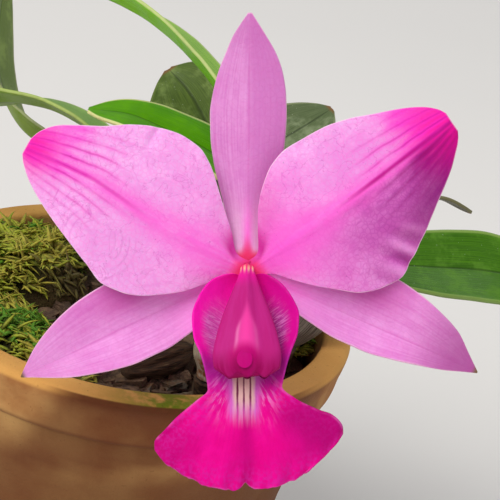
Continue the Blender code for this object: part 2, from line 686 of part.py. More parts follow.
def make_leaf(name, collection):
    leaf = LEAVES[name]
    _, top, _ = BULBS[leaf["bulb"]]
    shift = leaf["shift"]
    foot = in_mm(top[0] + shift[0], top[1] + shift[1], top[2]) + Vector((0, 0, LEAF_FOOT))
    route = smooth_route([(0, 0, 0), *leaf["midrib"]])
    looks = Vector(leaf["face"]).normalized()

    def place(s, t):
        ahead = heading(route, s, 0.01)
        side = looks.cross(ahead).normalized()
        up = ahead.cross(side)
        width = leaf["half"] * smooth(LEAF_OUTLINE, s)
        crease = leaf["fold"] * min(1, 5 * s) * (1 - 0.35 * s)
        rise = width * (crease * abs(t) ** 1.25 - 0.12 * t * t)
        return foot + (route(s) + side * width * t + up * rise) * MM

    bm = sheet(LEAF_ROWS, LEAF_COLUMNS, place)
    return thicken(add(name, mesh_from(name, bm), collection, (0.1, 0.26, 0.04), 0.42), LEAF_THICK)


def make_flower_stem(collection):
    """The leafless stem swells into the ovary, whose flat end carries the bloom."""
    toward = FLOWER_TURN @ Vector((0, 0, 1))
    end = Vector(FLOWER_AT) + FLOWER_TURN @ in_mm(0, -OVARY_DROP, 0) + toward * OVARY_LEVEL * MM
    start = end - toward * OVARY_LENGTH * MM
    route = smooth_route([*FLOWER_STEM, tuple(start / MM), tuple(end / MM)])
    count = FLOWER_STEM_ROWS
    points = [route(i / count) * MM for i in range(count)] + [end]
    points[0] = in_mm(*FLOWER_STEM_FOOT, 0) + Vector((0, 0, SEAT_TOP + FIT))
    points[1] = points[0] + Vector((0, 0, 0.0015))
    points[-2] = end - toward * 0.0016
    radii = [smooth(FLOWER_STEM_RADII, i / count) * MM for i in range(count + 1)]
    return wire("flower_stem", collection, points, radii, 10, (0.3, 0.36, 0.12), 0.5)


def make_bract(collection):
    """A papery sheath, open at the top, round the foot of the flowering stem."""
    route = smooth_route(FLOWER_STEM)
    straight = 0.35  # share of the sheath below its pointed mouth

    def place(s, t):
        angle = 0.94 * math.pi * t
        share = s if s < straight else straight + (s - straight) * (1 - 0.45 * abs(t) ** 1.5)
        here = route(0.005 + BRACT_REACH * share) * MM
        radius = (BRACT_RADIUS + BRACT_SWELL * math.sin(math.pi * min(1, 1.15 * s)) - 0.2 * s) * MM
        return here + Vector((radius * math.cos(angle), radius * math.sin(angle), 0.0001))

    bm = sheet(6, 10, place)
    bract = add("flower_bract", mesh_from("flower_bract", bm), collection, (0.72, 0.66, 0.52), 0.7)
    return thicken(bract, BRACT_THICK)


def blade(name, base, tip, outline, height, cuts, bloom, collection):
    """A blade of the bloom: x along its axis from base to tip, y to its left, z toward the viewer."""
    axis = Vector(tip) - Vector(base)

    def place(s, t):
        share = s - ROW_CROWD * math.sin(2 * math.pi * s) / (2 * math.pi)
        reach = smooth(outline, share, 1 if t > 0 else 2)
        return in_mm(axis.length * share, reach * t, height(share, t))

    obj = add(name, mesh_from(name, sheet(*cuts, place)), collection, PINK, 0.45)
    obj.parent = bloom
    obj.location = in_mm(*base, 0)
    obj.rotation_euler = (0, 0, math.atan2(axis.y, axis.x))
    return thicken(obj, BLADE_THICK)


def petal_height(side):
    """A petal's rise, arched across and gently waved toward its edges."""
    def height(s, t):
        away = math.sin(math.pi * s)
        wave = 0.55 * math.sin(9 * s + 2.2 * side * t + 0.6 * side) * t * t * away
        return PETAL_LEVEL + smooth(PETAL_RISE, s) - 1.3 * t * t * away + 0.5 * abs(t) ** 0.8 * away + wave
    return height


def dorsal_height(s, t):
    away = math.sin(math.pi * min(1, 1.05 * s))
    return SEPAL_LEVEL + smooth(SEPAL_FALL, s) - 0.9 * t * t * away + 0.35 * abs(t) * away


def lateral_height(s, t):
    """A lateral sepal's rise, folded along its middle like a valley."""
    away = math.sin(math.pi * min(1, 1.05 * s))
    return SEPAL_LEVEL + 1.3 * smooth(SEPAL_FALL, s) + (1.5 * abs(t) ** 1.2 - 1.4) * away


def make_blades(bloom, collection):
    blades = [
        ("dorsal_sepal", (0, 0.6), (0.6, 57.0), DORSAL_OUTLINE, dorsal_height, (14, 6)),
        ("lateral_sepal_left", (-1.4, -1.8), (-51.1, -25.3), LATERAL_LEFT_OUTLINE, lateral_height, (14, 6)),
        ("lateral_sepal_right", (1.7, -1.8), (52.0, -24.3), LATERAL_RIGHT_OUTLINE, lateral_height, (14, 6)),
        ("petal_left", (-1.6, -0.5), (-50.2, 25.2), PETAL_LEFT_OUTLINE, petal_height(1), (16, 8)),
        ("petal_right", (1.9, -0.5), (47.0, 30.4), PETAL_RIGHT_OUTLINE, petal_height(-1), (16, 8)),
    ]
    for entry in blades:
        blade(*entry, bloom, collection)


def lip_point(s, t):
    """The lip: side lobes that stand up round the column, then a broad ruffled front lobe."""
    row = [smooth(LIP_ROWS, s, i) for i in range(1, 8)]
    left_u, left_v, right_u, right_v, middle_v, middle_w, edge_w = row
    side_u, side_v = (left_u, left_v) if t < 0 else (right_u, right_v)
    fan = max(0, min(1, (s - LIP_FAN_START) / LIP_FAN_LENGTH))
    v = middle_v + (side_v - middle_v) * abs(t) ** (1.7 + 0.9 * fan)
    w = middle_w + (edge_w - middle_w) * abs(t) ** (2.4 - 0.4 * fan)
    ruffle = LIP_RUFFLE * fan * math.sin(11 * t + 5 * s) * max(abs(t), s) ** 3
    crest = LIP_CREST * s * (1 - fan) * math.exp(-((5 * t) ** 2))
    groove = LIP_GROOVE * fan * (s - 0.6) * math.exp(-((6 * t) ** 2))
    notch = LIP_NOTCH * s**12 * math.exp(-((9 * t) ** 2))
    return in_mm(side_u * abs(t), v + notch, w + ruffle + crest - groove)


def make_lip(bloom, collection):
    bm = sheet(LIP_CUTS, LIP_COLUMNS, lip_point)
    bmesh.ops.reverse_faces(bm, faces=bm.faces)
    lip = add("lip", mesh_from("lip", bm), collection, (0.75, 0.01, 0.3), 0.42)
    lip.parent = bloom
    return thicken(lip, BLADE_THICK)


def column_axis(s):
    """The way that the column runs, as v and w."""
    if s < 0.01:
        return Vector((0, 1))
    after, before = min(1, s + 0.01), max(0, s - 0.01)
    step = [smooth(COLUMN_ROWS, after, i) - smooth(COLUMN_ROWS, before, i) for i in (1, 2)]
    return Vector(step).normalized()


def column_point(s, angle):
    v, w, half, thick = [smooth(COLUMN_ROWS, s, i) for i in (1, 2, 3, 4)]
    ahead = column_axis(s)
    across, up = math.cos(angle), math.sin(angle)
    ridge = 1 + max(0, up) * smooth(COLUMN_RIDGE, s) * math.exp(-((4 * across) ** 2))
    wings = 1 - COLUMN_HOLLOW * max(0, up) * (1 - abs(2 * abs(across) - 1))
    out = thick * up * wings * ridge
    return in_mm(half * across, v + ahead.y * out, w - ahead.x * out)


def make_column(bloom, collection):
    bm = tube(11, 16, column_point)
    column = add("column", mesh_from("column", bm), collection, (0.5, 0.05, 0.25), 0.4)
    column.parent = bloom
    return column


def make_anther_cap(bloom, collection):
    """A small rounded cap that lies on the column's end."""
    v, w, _, thick = [smooth(COLUMN_ROWS, CAP_AT, i) for i in (1, 2, 3, 4)]
    ahead = column_axis(CAP_AT)
    up = Vector((0, ahead.y, -ahead.x))
    along = Vector((0, ahead.x, ahead.y))
    seat = Vector((0, v, w)) + up * (1.16 * thick + CAP_LIFT)
    bm = bmesh.new()
    bmesh.ops.create_uvsphere(bm, u_segments=12, v_segments=7, radius=1)
    for vertex in bm.verts:
        x, y, z = vertex.co
        rise = max(z, 0) * CAP_HALF[2] + min(z, 0) * CAP_BELLY
        vertex.co = (seat + Vector((-x * CAP_HALF[0], 0, 0)) + along * y * CAP_HALF[1] + up * rise) * MM
    cap = add("anther_cap", mesh_from("anther_cap", bm), collection, (0.6, 0.02, 0.28), 0.4)
    cap.parent = bloom
    return cap


def main():
    for obj in list(bpy.data.objects):
        bpy.data.objects.remove(obj)
    scene = bpy.context.scene.collection
    parts = bpy.data.collections.new("potted_cattleya_orchid")
    cutters = bpy.data.collections.new("cutters")
    loose = bpy.data.collections.new("pieces_to_join")
    for collection in (parts, cutters, loose):
        scene.children.link(collection)
    cutters.hide_render = True

    make_pot(parts, cutters)
    make_crocks(parts, loose)
    make_mix(parts, loose)
    for name in MOSSES:
        make_moss(name, parts)
    make_rhizome(parts, loose)
    for number, (foot, top, girth) in enumerate(BULBS, 1):
        make_bulb(f"pseudobulb_{number}", foot, top, girth, parts)
    make_old_bulb(parts)
    for name in LEAVES:
        make_leaf(name, parts)
    make_flower_stem(parts)
    make_bract(parts)

    bloom = bpy.data.objects.new("bloom", None)
    parts.objects.link(bloom)
    bloom.matrix_world = Matrix.Translation(FLOWER_AT) @ FLOWER_TURN.to_4x4()
    make_blades(bloom, parts)
    make_lip(bloom, parts)
    make_column(bloom, parts)
    make_anther_cap(bloom, parts)
    bpy.data.collections.remove(loose)


main()
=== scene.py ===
import math
import random

import bmesh
import bpy
from mathutils import Matrix, Vector, noise


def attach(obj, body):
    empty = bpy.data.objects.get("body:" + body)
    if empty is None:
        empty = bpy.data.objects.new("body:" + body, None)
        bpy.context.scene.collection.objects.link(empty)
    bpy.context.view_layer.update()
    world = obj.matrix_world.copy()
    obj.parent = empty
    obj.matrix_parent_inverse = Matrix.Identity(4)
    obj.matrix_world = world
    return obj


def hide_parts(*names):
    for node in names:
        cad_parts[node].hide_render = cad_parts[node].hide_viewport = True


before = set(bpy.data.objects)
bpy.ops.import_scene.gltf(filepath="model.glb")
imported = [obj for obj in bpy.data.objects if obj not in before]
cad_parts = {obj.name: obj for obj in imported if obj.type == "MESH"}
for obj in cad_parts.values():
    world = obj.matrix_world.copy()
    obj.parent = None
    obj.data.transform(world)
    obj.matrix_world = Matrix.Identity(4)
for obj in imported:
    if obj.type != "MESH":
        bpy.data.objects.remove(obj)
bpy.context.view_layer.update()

mm = 0.001
touch = 0.0003  # gap between pieces that touch, in metres


# Shape helpers

def smooth(stations, at, item=1):
    # value of one item of the stations at a place along them, on a curve that never overshoots
    last = len(stations) - 2
    first = next((i for i in range(last + 1) if at < stations[i + 1][0]), last)

    def rise(i):
        return (stations[i + 1][item] - stations[i][item]) / (stations[i + 1][0] - stations[i][0])

    def slope(i):
        if i == 0 or i == last + 1:
            return rise(min(i, last))
        before, after = rise(i - 1), rise(i)
        return 2 * before * after / (before + after) if before * after > 0 else 0.0

    gap = stations[first + 1][0] - stations[first][0]
    x = (at - stations[first][0]) / gap
    start, end = stations[first][item], stations[first + 1][item]
    bend = (x**3 - 2 * x**2 + x) * slope(first) + (x**3 - x**2) * slope(first + 1)
    return start + (end - start) * (3 * x**2 - 2 * x**3) + bend * gap


def smoothRoute(points):
    # gives a function: the point at a share of the way along a smooth curve through the points
    reach = [0.0]
    for before, after in zip(points, points[1:]):
        reach.append(reach[-1] + (Vector(after) - Vector(before)).length)
    stations = [(r / reach[-1], *p) for r, p in zip(reach, points)]
    return lambda at: Vector([smooth(stations, at, item) for item in range(1, len(points[0]) + 1)])


def heading(route, at, step=0.01):
    return (route(min(1, at + step)) - route(max(0, at - step))).normalized()


def ease(low, high, value):
    share = max(0.0, min(1.0, (value - low) / (high - low)))
    return share * share * (3 - 2 * share)


def hump(middle, half, value):
    return math.exp(-(((value - middle) / half) ** 2))


def inMm(*values):
    return Vector(values) * mm


def bentGrid(bm, rows, columns, place, marks=None):
    # a grid of rows along s (0 to 1) and columns across t (-1 to 1), bent by a function of both,
    # with its own UV map "sheet" and a number at each vertex for every mark
    names = list(marks(0.5, 0.1)) if marks else []
    uv = bm.loops.layers.uv.get("sheet") or bm.loops.layers.uv.new("sheet")
    for name in names:
        if not bm.verts.layers.float.get(name):
            bm.verts.layers.float.new(name)
    uv = bm.loops.layers.uv["sheet"]
    layers = {name: bm.verts.layers.float[name] for name in names}
    made = bmesh.ops.create_grid(bm, x_segments=rows, y_segments=columns, size=0.5)["verts"]
    spots = {vertex: (vertex.co.x + 0.5, vertex.co.y * 2) for vertex in made}
    for face in {face for vertex in made for face in vertex.link_faces}:
        for loop in face.loops:
            s, t = spots[loop.vert]
            loop[uv].uv = (s, (t + 1) / 2)
    for vertex, (s, t) in spots.items():
        vertex.co = place(s, t)
        for name, value in (marks(s, t) if marks else {}).items():
            vertex[layers[name]] = value
    return made


def roundTube(bm, rows, sides, place, marks=None):
    # a closed tube: place takes s and the angle round it
    angled = (lambda s, t: marks(s, math.pi * (t + 1))) if marks else None
    made = bentGrid(bm, rows, sides, lambda s, t: place(s, math.pi * (t + 1)), angled)
    bmesh.ops.remove_doubles(bm, verts=made, dist=0.0000005)
    alive = [vertex for vertex in made if vertex.is_valid]
    edges = list({edge for vertex in alive for edge in vertex.link_edges if edge.is_boundary})
    bmesh.ops.holes_fill(bm, edges=edges, sides=0)
    bmesh.ops.recalc_face_normals(bm, faces=list({face for vertex in alive for face in vertex.link_faces}))
    return alive


def tubeAlong(bm, points, radiusAt, rows, sides, marks=None, wobble=0.0):
    # a tube along a smooth curve, with frames carried along it so that nothing twists
    route = smoothRoute([tuple(point) for point in points])
    frames = []
    side = heading(route, 0.0, 0.02).orthogonal().normalized()
    for row in range(rows + 1):
        ahead = heading(route, row / rows, 0.02)
        side = (side - ahead * side.dot(ahead)).normalized()
        frames.append((route(row / rows), side, ahead.cross(side)))

    def place(s, angle):
        middle, across, up = frames[round(s * rows)]
        around = across * math.cos(angle) + up * math.sin(angle)
        lumps = wobble * noise.noise((middle + around * radiusAt(s)) * 900)
        return middle + around * radiusAt(s) * (1 + lumps)

    return roundTube(bm, rows, sides, place, marks)


def spun(bm, profile, steps):
    # a profile of (radius, height) pairs in metres, turned right round Z
    corners = [bm.verts.new((radius, 0, height)) for radius, height in profile]
    edges = [bm.edges.new(pair) for pair in zip(corners, corners[1:])]
    bmesh.ops.spin(
        bm, geom=corners + edges, cent=(0, 0, 0), axis=(0, 0, 1), angle=2 * math.pi, steps=steps,
        use_merge=True,
    )
    bmesh.ops.remove_doubles(bm, verts=bm.verts, dist=0.000001)
    bmesh.ops.recalc_face_normals(bm, faces=bm.faces)


def addObject(name, bm, finishes):
    mesh = bpy.data.meshes.new(name)
    bm.to_mesh(mesh)
    bm.free()
    for finish in finishes:
        mesh.materials.append(finish)
    mesh.shade_smooth()
    obj = bpy.data.objects.new(name, mesh)
    bpy.context.scene.collection.objects.link(obj)
    return obj


def addPiece(name, bm, finishes, node):
    obj = addObject(name, bm, finishes)
    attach(obj, "root")
    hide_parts(node)
    return obj


def thicken(obj, thickness, back=0, rim=0):
    shell = obj.modifiers.new("thickness", "SOLIDIFY")
    shell.thickness = thickness
    shell.offset = 0
    shell.material_offset = back
    shell.material_offset_rim = rim
    return obj


# Node helpers

class Wire:
    # an output of a node: sums and products that are written with it become Math nodes in its tree

    def __init__(self, tree, socket):
        self.tree, self.socket = tree, socket

    def calc(self, operation, *others):
        return put(self.tree, "Math", dict(enumerate((self, *others))), operation=operation)

    def __add__(self, other):
        return self.calc("ADD", other)

    def __sub__(self, other):
        return self.calc("SUBTRACT", other)

    def __mul__(self, other):
        return self.calc("MULTIPLY", other)

    def __abs__(self):
        return self.calc("ABSOLUTE")


def feed(socket, value):
    if isinstance(value, Wire):
        value.tree.links.new(value.socket, socket)
    else:
        socket.default_value = value


def put(tree, kind, inputs, output=0, **settings):
    # adds a node and gives one of its outputs
    node = tree.nodes.new("ShaderNode" + kind)
    for key, value in settings.items():
        setattr(node, key, value)
    for key, value in inputs.items():
        feed(node.inputs[key], value)
    return Wire(tree, node.outputs[output])


def stepped(value, low, high, bottom=0.0, top=1.0):
    inputs = {"Value": value, "From Min": low, "From Max": high, "To Min": bottom, "To Max": top}
    return put(value.tree, "MapRange", inputs, interpolation_type="SMOOTHSTEP")


def clouds(place, scale, detail=2.0, distortion=0.0):
    inputs = {"Vector": place, "Scale": scale, "Detail": detail, "Distortion": distortion}
    return put(place.tree, "TexNoise", inputs)


def stretched(place, scale):
    return put(place.tree, "Mapping", {"Vector": place, "Scale": scale})


def split(place):
    node = put(place.tree, "SeparateXYZ", {0: place}).socket.node
    return [Wire(place.tree, socket) for socket in node.outputs]


def joined(x, y):
    return put(y.tree, "CombineXYZ", {0: x, 1: y})


def grain(x, y, detail, distortion=0.0):
    # noise on two numbers, such as the places along and across a piece, each times its own scale
    return clouds(joined(x, y), 1.0, detail, distortion)


def tint(colour, tone=1.0):
    # the linear colour that a socket takes, from three display values; a wire or a linear colour passes
    if isinstance(colour, Wire) or len(colour) == 4:
        return colour
    channels = [c / 255 for c in colour]
    return (*[tone * (c / 12.92 if c <= 0.04045 else ((c + 0.055) / 1.055) ** 2.4) for c in channels], 1)


def mixed(share, first, second):
    return put(share.tree, "Mix", {0: share, 6: tint(first), 7: tint(second)}, 2, data_type="RGBA")


def layered(looks, ground, *coats):
    # coats of (colour, share) over a ground; a colour is a name in the looks, display values or a wire
    def named(colour):
        return looks[colour] if isinstance(colour, str) else colour

    colour = named(ground)
    for coat, share in coats:
        colour = mixed(share, colour, named(coat))
    return colour


def makeGroup(name, labels):
    # an empty node group, a wire for each of its inputs, and the socket of its one output
    tree = bpy.data.node_groups.new(name, "ShaderNodeTree")
    for label in labels:
        kind = "NodeSocketVector" if label == "Vector" else "NodeSocketFloat"
        tree.interface.new_socket(label, in_out="INPUT", socket_type=kind)
    tree.interface.new_socket("Mask", in_out="OUTPUT", socket_type="NodeSocketFloat")
    given = tree.nodes.new("NodeGroupInput").outputs
    mask = tree.nodes.new("NodeGroupOutput").inputs[0]
    return tree, {label: Wire(tree, given[label]) for label in labels}, mask


def makeVeinLines():
    # thin lines where a coordinate passes whole steps; Gap is the real width in mm of one unit of it
    tree, given, mask = makeGroup("veinLines", ("Line", "Gap", "Spacing", "Width", "Wander", "Vector"))
    wander = (clouds(given["Vector"], 110, 3) - 0.5) * given["Wander"]
    away = (given["Line"] + wander).calc("PINGPONG", given["Spacing"] * 0.5) * given["Gap"]
    feed(mask, stepped(away, given["Width"], given["Width"] * 0.2))
    return tree


def makeCellNet():
    # the joins between the fine cells of a petal
    tree, given, mask = makeGroup("cellNet", ("Vector", "Scale"))
    feed(mask, stepped(put(tree, "TexVoronoi", given, feature="DISTANCE_TO_EDGE"), 0.16, 0.02))
    return tree


def makeMottle():
    # soft patches of two sizes
    tree, given, mask = makeGroup("mottle", ("Vector", "Scale", "Low", "High"))
    large = clouds(given["Vector"], given["Scale"], 2)
    fine = clouds(given["Vector"], given["Scale"] * 4.3, 3)
    feed(mask, stepped(large * 0.65 + fine * 0.35, given["Low"], given["High"]))
    return tree


veinLines = makeVeinLines()
cellNet = makeCellNet()
mottle = makeMottle()


def veins(place, line, gap, spacing, width, wander):
    inputs = {"Line": line, "Gap": gap, "Spacing": spacing, "Width": width, "Wander": wander, "Vector": place}
    return put(place.tree, "Group", inputs, node_tree=veinLines)


def cells(place, scale):
    return put(place.tree, "Group", {"Vector": place, "Scale": scale}, node_tree=cellNet)


def patches(place, scale, low, high):
    inputs = {"Vector": place, "Scale": scale, "Low": low, "High": high}
    return put(place.tree, "Group", inputs, node_tree=mottle)


class Skin:
    # a material, with the places that its patterns follow: here in the object, along and across a sheet

    def __init__(self, name, roughness=0.5, specular=0.5, subsurface=0.0, coat=0.0):
        self.material = bpy.data.materials.new(name)
        self.material.use_nodes = True
        self.tree = self.material.node_tree
        self.shader = self.tree.nodes["Principled BSDF"].inputs
        values = {"Roughness": roughness, "Specular IOR Level": specular, "Coat Weight": coat}
        if subsurface:
            values["Subsurface Weight"] = subsurface
            values["Subsurface Radius"] = (1.0, 0.35, 0.6)
            values["Subsurface Scale"] = 0.0012
        for label, value in values.items():
            self.shader[label].default_value = value
        self.here = put(self.tree, "TexCoord", {}, "Object")

    def sheet(self):
        # places along and across a sheet or round a tube, both 0 to 1
        return split(put(self.tree, "UVMap", {}, uv_map="sheet"))[:2]

    def mark(self, name):
        return put(self.tree, "Attribute", {}, "Fac", attribute_name=name)

    def done(self, colour, height=None, strength=0.0, distance=0.0):
        feed(self.shader["Base Color"], colour)
        if height:
            bump = {"Height": height, "Strength": strength, "Distance": distance}
            feed(self.shader["Normal"], put(self.tree, "Bump", bump))
        return self.material


# Pot

pot = {
    "height": 0.092, "rimRadius": 0.061, "baseRadius": 0.0445, "floorThick": 0.008, "wallThick": 0.0065,
    "collarHeight": 0.013, "collarStep": 0.0022, "collarTaper": 0.0018, "rimThick": 0.0078,
    "rimRound": 0.0016, "edgeRound": 0.0008, "floorRound": 0.003, "steps": 160, "wallRows": 30,
    "collarRows": 8,
    "drains": 3, "drainRadius": 0.0055, "drainRing": 0.022, "ringDepth": 0.00007,
    "algaeAt": (0.018, -0.0562, 0.0915), "algaeReach": 0.012, "potShadowStart": (-104, -93),
    "potShadowEnd": (-24, -46),
    "dry": (206, 160, 98), "fired": (150, 95, 50), "damp": (98, 56, 27), "pale": (224, 168, 88),
    "algae": (100, 120, 2), "potShadow": (92, 44, 18),
}
wallTop = pot["rimRadius"] - pot["collarTaper"] - pot["collarStep"]
shoulder = pot["height"] - pot["collarHeight"]


def outerAt(height):
    # radius of the outer wall under the collar
    return pot["baseRadius"] + (wallTop - pot["baseRadius"]) * min(height, shoulder) / shoulder


def makeClay(name, dampness):
    skin = Skin(name, roughness=0.85, specular=0.3)
    here, top = skin.here, pot["height"]
    height = split(here)[2]
    damp = patches(stretched(here, (1, 1, 0.45)), 17, 0.62 - dampness, 0.8 - dampness)
    # painted shade: darker towards the bottom of the wall
    low = stepped(height, top * 0.92, top * 0.66)
    green = patches(here, 120, 0.36, 0.52) * stepped(height, top - 0.0032, top - 0.001)
    colour = layered(
        pot, "fired",
        ("dry", patches(here, 26, 0.38, 0.66)),
        # real damp patches, and painted shade on the lower wall laid on in the same damp colour
        ("damp", (damp * 0.75).calc("MAXIMUM", low * 0.82)),
        # painted light: a lighter band on the top of the rim, where the light falls
        ("pale", stepped(height, top - 0.0022, top - 0.0009) * 0.75),
        ("algae", green * skin.mark("algaeSpot")),
        # painted shade in the groove under the collar, then the painted shadow of the bloom on the front of
        # the pot
        ("potShadow", stepped(abs(height - shoulder), 0.0017, 0.0005, 0, 0.5)),  # the groove under the collar
        ("potShadow", skin.mark("potShadow") * stepped(height, top - 0.0003, top - 0.0006) * 0.85),
        ("damp", stepped(clouds(here, 900, 2), 0.66, 0.74) * 0.35),
    )
    feed(skin.shader["Roughness"], stepped(damp, 0, 1, 0.9, 0.72))
    return skin.done(colour, clouds(here, 1400, 3) + clouds(here, 160, 2) * 1.5, 0.35, 0.0006)


def potProfile():
    # from the middle of the floor's upper face, over the rim and down to the middle of its lower face
    floorThick, floorRound = pot["floorThick"], pot["floorRound"]
    edge, rim, top, rimRadius = pot["edgeRound"], pot["rimRound"], pot["height"], pot["rimRadius"]
    insideTop = rimRadius - pot["rimThick"]
    innerFoot = outerAt(floorThick) - pot["wallThick"]
    profile = [
        (0, floorThick),
        (innerFoot - floorRound, floorThick),
        (innerFoot - 0.3 * floorRound, floorThick + 0.3 * floorRound),
        (outerAt(floorThick + floorRound) - pot["wallThick"], floorThick + floorRound),
        (outerAt(shoulder) - pot["wallThick"], shoulder),
        (insideTop, top - rim),
        (insideTop + 0.1 * rim, top - 0.55 * rim),
        (insideTop + 0.4 * rim, top - 0.18 * rim),
        (insideTop + rim, top),
        (rimRadius - 1.3 * rim, top),
        (rimRadius - 0.7 * rim, top - 0.15 * rim),
        (rimRadius - 0.2 * rim, top - 0.5 * rim),
        (rimRadius, top - rim),
    ]
    collarLow = shoulder + edge
    for row in range(1, pot["collarRows"]):
        share = row / pot["collarRows"]
        ripple = pot["ringDepth"] * math.sin(9 * share)
        height = top - rim - (top - rim - collarLow) * share
        profile.append((rimRadius - pot["collarTaper"] * share + ripple, height))
    collarRadius = rimRadius - pot["collarTaper"]
    profile += [
        (collarRadius, collarLow),
        (collarRadius - 0.3 * edge, shoulder + 0.3 * edge),
        (collarRadius - edge, shoulder),
        (wallTop + 0.5 * edge, shoulder),
        (wallTop, shoulder - edge),
    ]
    for row in range(1, pot["wallRows"]):
        height = (shoulder - edge) * (1 - row / pot["wallRows"])
        ripple = pot["ringDepth"] * math.sin(2.1 * row) * math.sin(0.4 * row)
        profile.append((outerAt(height) + ripple, height))
    return profile + [(pot["baseRadius"] - 0.4 * edge, 0.6 * edge), (pot["baseRadius"] - 2 * edge, 0), (0, 0)]


def potShadowAt(spot):
    # the painted shadow that the bloom casts on the front of the pot, from 0 to 1
    radius, high = math.hypot(spot.x, spot.y) / mm, spot.z / mm
    around = math.degrees(math.atan2(spot.y, spot.x))
    start = ease(*pot["potShadowStart"], around + 0.5 * (90 - high))
    end = ease(*pot["potShadowEnd"], around + 4.5 * max(0, 80 - high))
    outside = ease(57.5, 58.5, radius) if high > 91 else ease(44, 46, radius)
    return start * end * outside * (0.85 + 0.3 * hump(90.6, 1.8, high))


def makePot():
    bm = bmesh.new()
    spun(bm, potProfile(), pot["steps"])
    algae = bm.verts.layers.float.new("algaeSpot")
    potShadow = bm.verts.layers.float.new("potShadow")
    for vertex in bm.verts:
        flat = Vector((vertex.co.x, vertex.co.y, 0))
        lumps = noise.noise(vertex.co * 28) * 0.00022 + noise.noise(vertex.co * 90) * 0.00007
        if flat.length > 0.03 and vertex.co.z > 2 * pot["edgeRound"]:
            vertex.co += flat.normalized() * lumps
        vertex[algae] = hump(0, pot["algaeReach"], (vertex.co - Vector(pot["algaeAt"])).length)
        vertex[potShadow] = potShadowAt(vertex.co)
    made = addPiece("clayPot", bm, [makeClay("terracotta", 0.14)], "pot")
    cutters = []
    for number in range(pot["drains"]):
        angle = math.radians(90 + 360 / pot["drains"] * number)
        ring = pot["drainRing"]
        middle = (ring * math.cos(angle), ring * math.sin(angle), pot["floorThick"] / 2)
        cutter = bmesh.new()
        bmesh.ops.create_cone(
            cutter, cap_ends=True, segments=40, radius1=pot["drainRadius"], radius2=pot["drainRadius"],
            depth=3 * pot["floorThick"], matrix=Matrix.Translation(middle),
        )
        cutters.append(addObject(f"drainCutter{number}", cutter, []))
        cut = made.modifiers.new(f"drain{number}", "BOOLEAN")
        cut.operation = "DIFFERENCE"
        cut.object = cutters[-1]
    bpy.context.view_layer.update()
    cutMesh = bpy.data.meshes.new_from_object(made.evaluated_get(bpy.context.evaluated_depsgraph_get()))
    made.modifiers.clear()
    made.data = cutMesh
    for cutter in cutters:
        bpy.data.objects.remove(cutter)
    made.data.set_sharp_from_angle(angle=math.radians(50))


# Filling of bark, and what lies on it


mix = {
    "lift": (-0.0006, 0.0014), "crumbSize": (0.0008, 0.0024), "seed": 5,
    "top": 0.0805, "bottom": 0.0172, "steps": 150, "rings": 46, "dips": 0.0011,
    "chips": 210, "crumbs": 420, "tries": 14000, "apart": 0.0036,
    "length": (0.0045, 0.0115), "width": (0.0032, 0.0066), "thick": (0.0022, 0.004),
    "bark": (114, 90, 70), "dark": (72, 56, 47), "worn": (112, 84, 58), "grey": (100, 92, 80),
}
mixRadius = wallTop - pot["wallThick"] - 2 * touch
stemHeight = mix["top"] + touch + 0.0036
seatTop = stemHeight + 0.0044

creeping = {
    "radius": 3.6, "rootRadius": 1.2, "rootDepth": 10.0,
    "main": [
        (-18, 41), (-14, 39), (-7, 36.5), (2, 33), (10, 26), (16, 18), (23, 12), (28, 4), (27, -12),
        (25, -30),
        (25, -37),
    ],
    "branches": [
        [(2, 33), (-3, 25), (-6, 15), (-7, 11)],
        [(28, 4), (34, 0), (42, -6), (45, -8)],
        [(16, 18), (24, 23), (31, 26), (35, 27)],
    ],
    "roots": [
        [(27, -12), (21, -6), (12, -8), (3, -11)],
        [(25, -30), (17, -36), (12, -43)],
        [(-14, 39), (-10, 31), (-12, 23)],
        [(-6, 15), (-11, 7), (-13, -4), (-9, -14)],
        [(28, 4), (17, 3), (8, -2)],
        [(42, -6), (44, -18), (38, -27)],
        [(2, 33), (6, 40), (14, 43)],
        [(31, 26), (34, 18), (36, 10)],
    ],
    "brown": (84, 62, 42), "scale": (118, 98, 74), "joint": (42, 30, 22), "rootSkin": (112, 100, 80),
}
flowerStemFoot = (25, -34)

# cushions of moss: first and last angle in degrees, inner and outer radius, height, how many tufts
mosses = {
    "moss_back_left": {
        "piece": "mossBackLeft", "span": (126, 189), "ring": (17, 49.8), "height": 10.2, "tufts": 170,
        "inner": True,
    },
    "moss_front_left": {
        "piece": "mossFrontLeft", "span": (191, 264), "ring": (25, 49.8), "height": 5.5, "tufts": 140,
        "inner": False,
    },
    "moss_right": {
        "piece": "mossRight", "span": (2, 27), "ring": (41.5, 49.8), "height": 4.5, "tufts": 26,
        "inner": False,
    },
}
mossLooks = {
    "hollow": (78, 66, 38), "hollowShadeReach": (24.0, 30.0), "edge": 1.2,
    "strands": 12, "variants": 9, "length": (3.0, 6.5), "girth": (0.6, 1.1), "gaps": (28, 24, 8),
    "shade": (50, 48, 13), "young": (162, 170, 48), "old": (174, 164, 60), "fresh": (90, 140, 30),
    "dry": (190, 186, 108),
}


def nearRoute(x, y, route, reach):
    here = Vector((x, y))
    for start, end in zip(route, route[1:]):
        a, b = inMm(*start), inMm(*end)
        share = max(0, min(1, (here - a).dot(b - a) / (b - a).length_squared))
        if (here - a.lerp(b, share)).length < reach:
            return True
    return False


def underMoss(x, y):
    radius, angle = math.hypot(x, y) / mm, math.degrees(math.atan2(y, x))
    for moss in mosses.values():
        start, end = moss["span"]
        inner, outer = moss["ring"]
        if (angle - start) % 360 < end - start and inner + 2 < radius < outer:
            return True
    return False


def makeBark():
    skin = Skin("orchidBark", roughness=0.92, specular=0.25)
    here, age = skin.here, skin.mark("age")
    colour = layered(
        mix, "dark",
        ("bark", patches(here, 220, 0.35, 0.62)),
        ("worn", stepped(age, 0.45, 1.0) * stepped(clouds(here, 700, 3), 0.42, 0.7)),
        ("grey", stepped(age, 0.8, 1.0) * stepped(clouds(here, 420, 3), 0.45, 0.62)),
    )
    return skin.done(colour, clouds(stretched(here, (1, 1, 3.5)), 900, 4), 0.8, 0.0012)


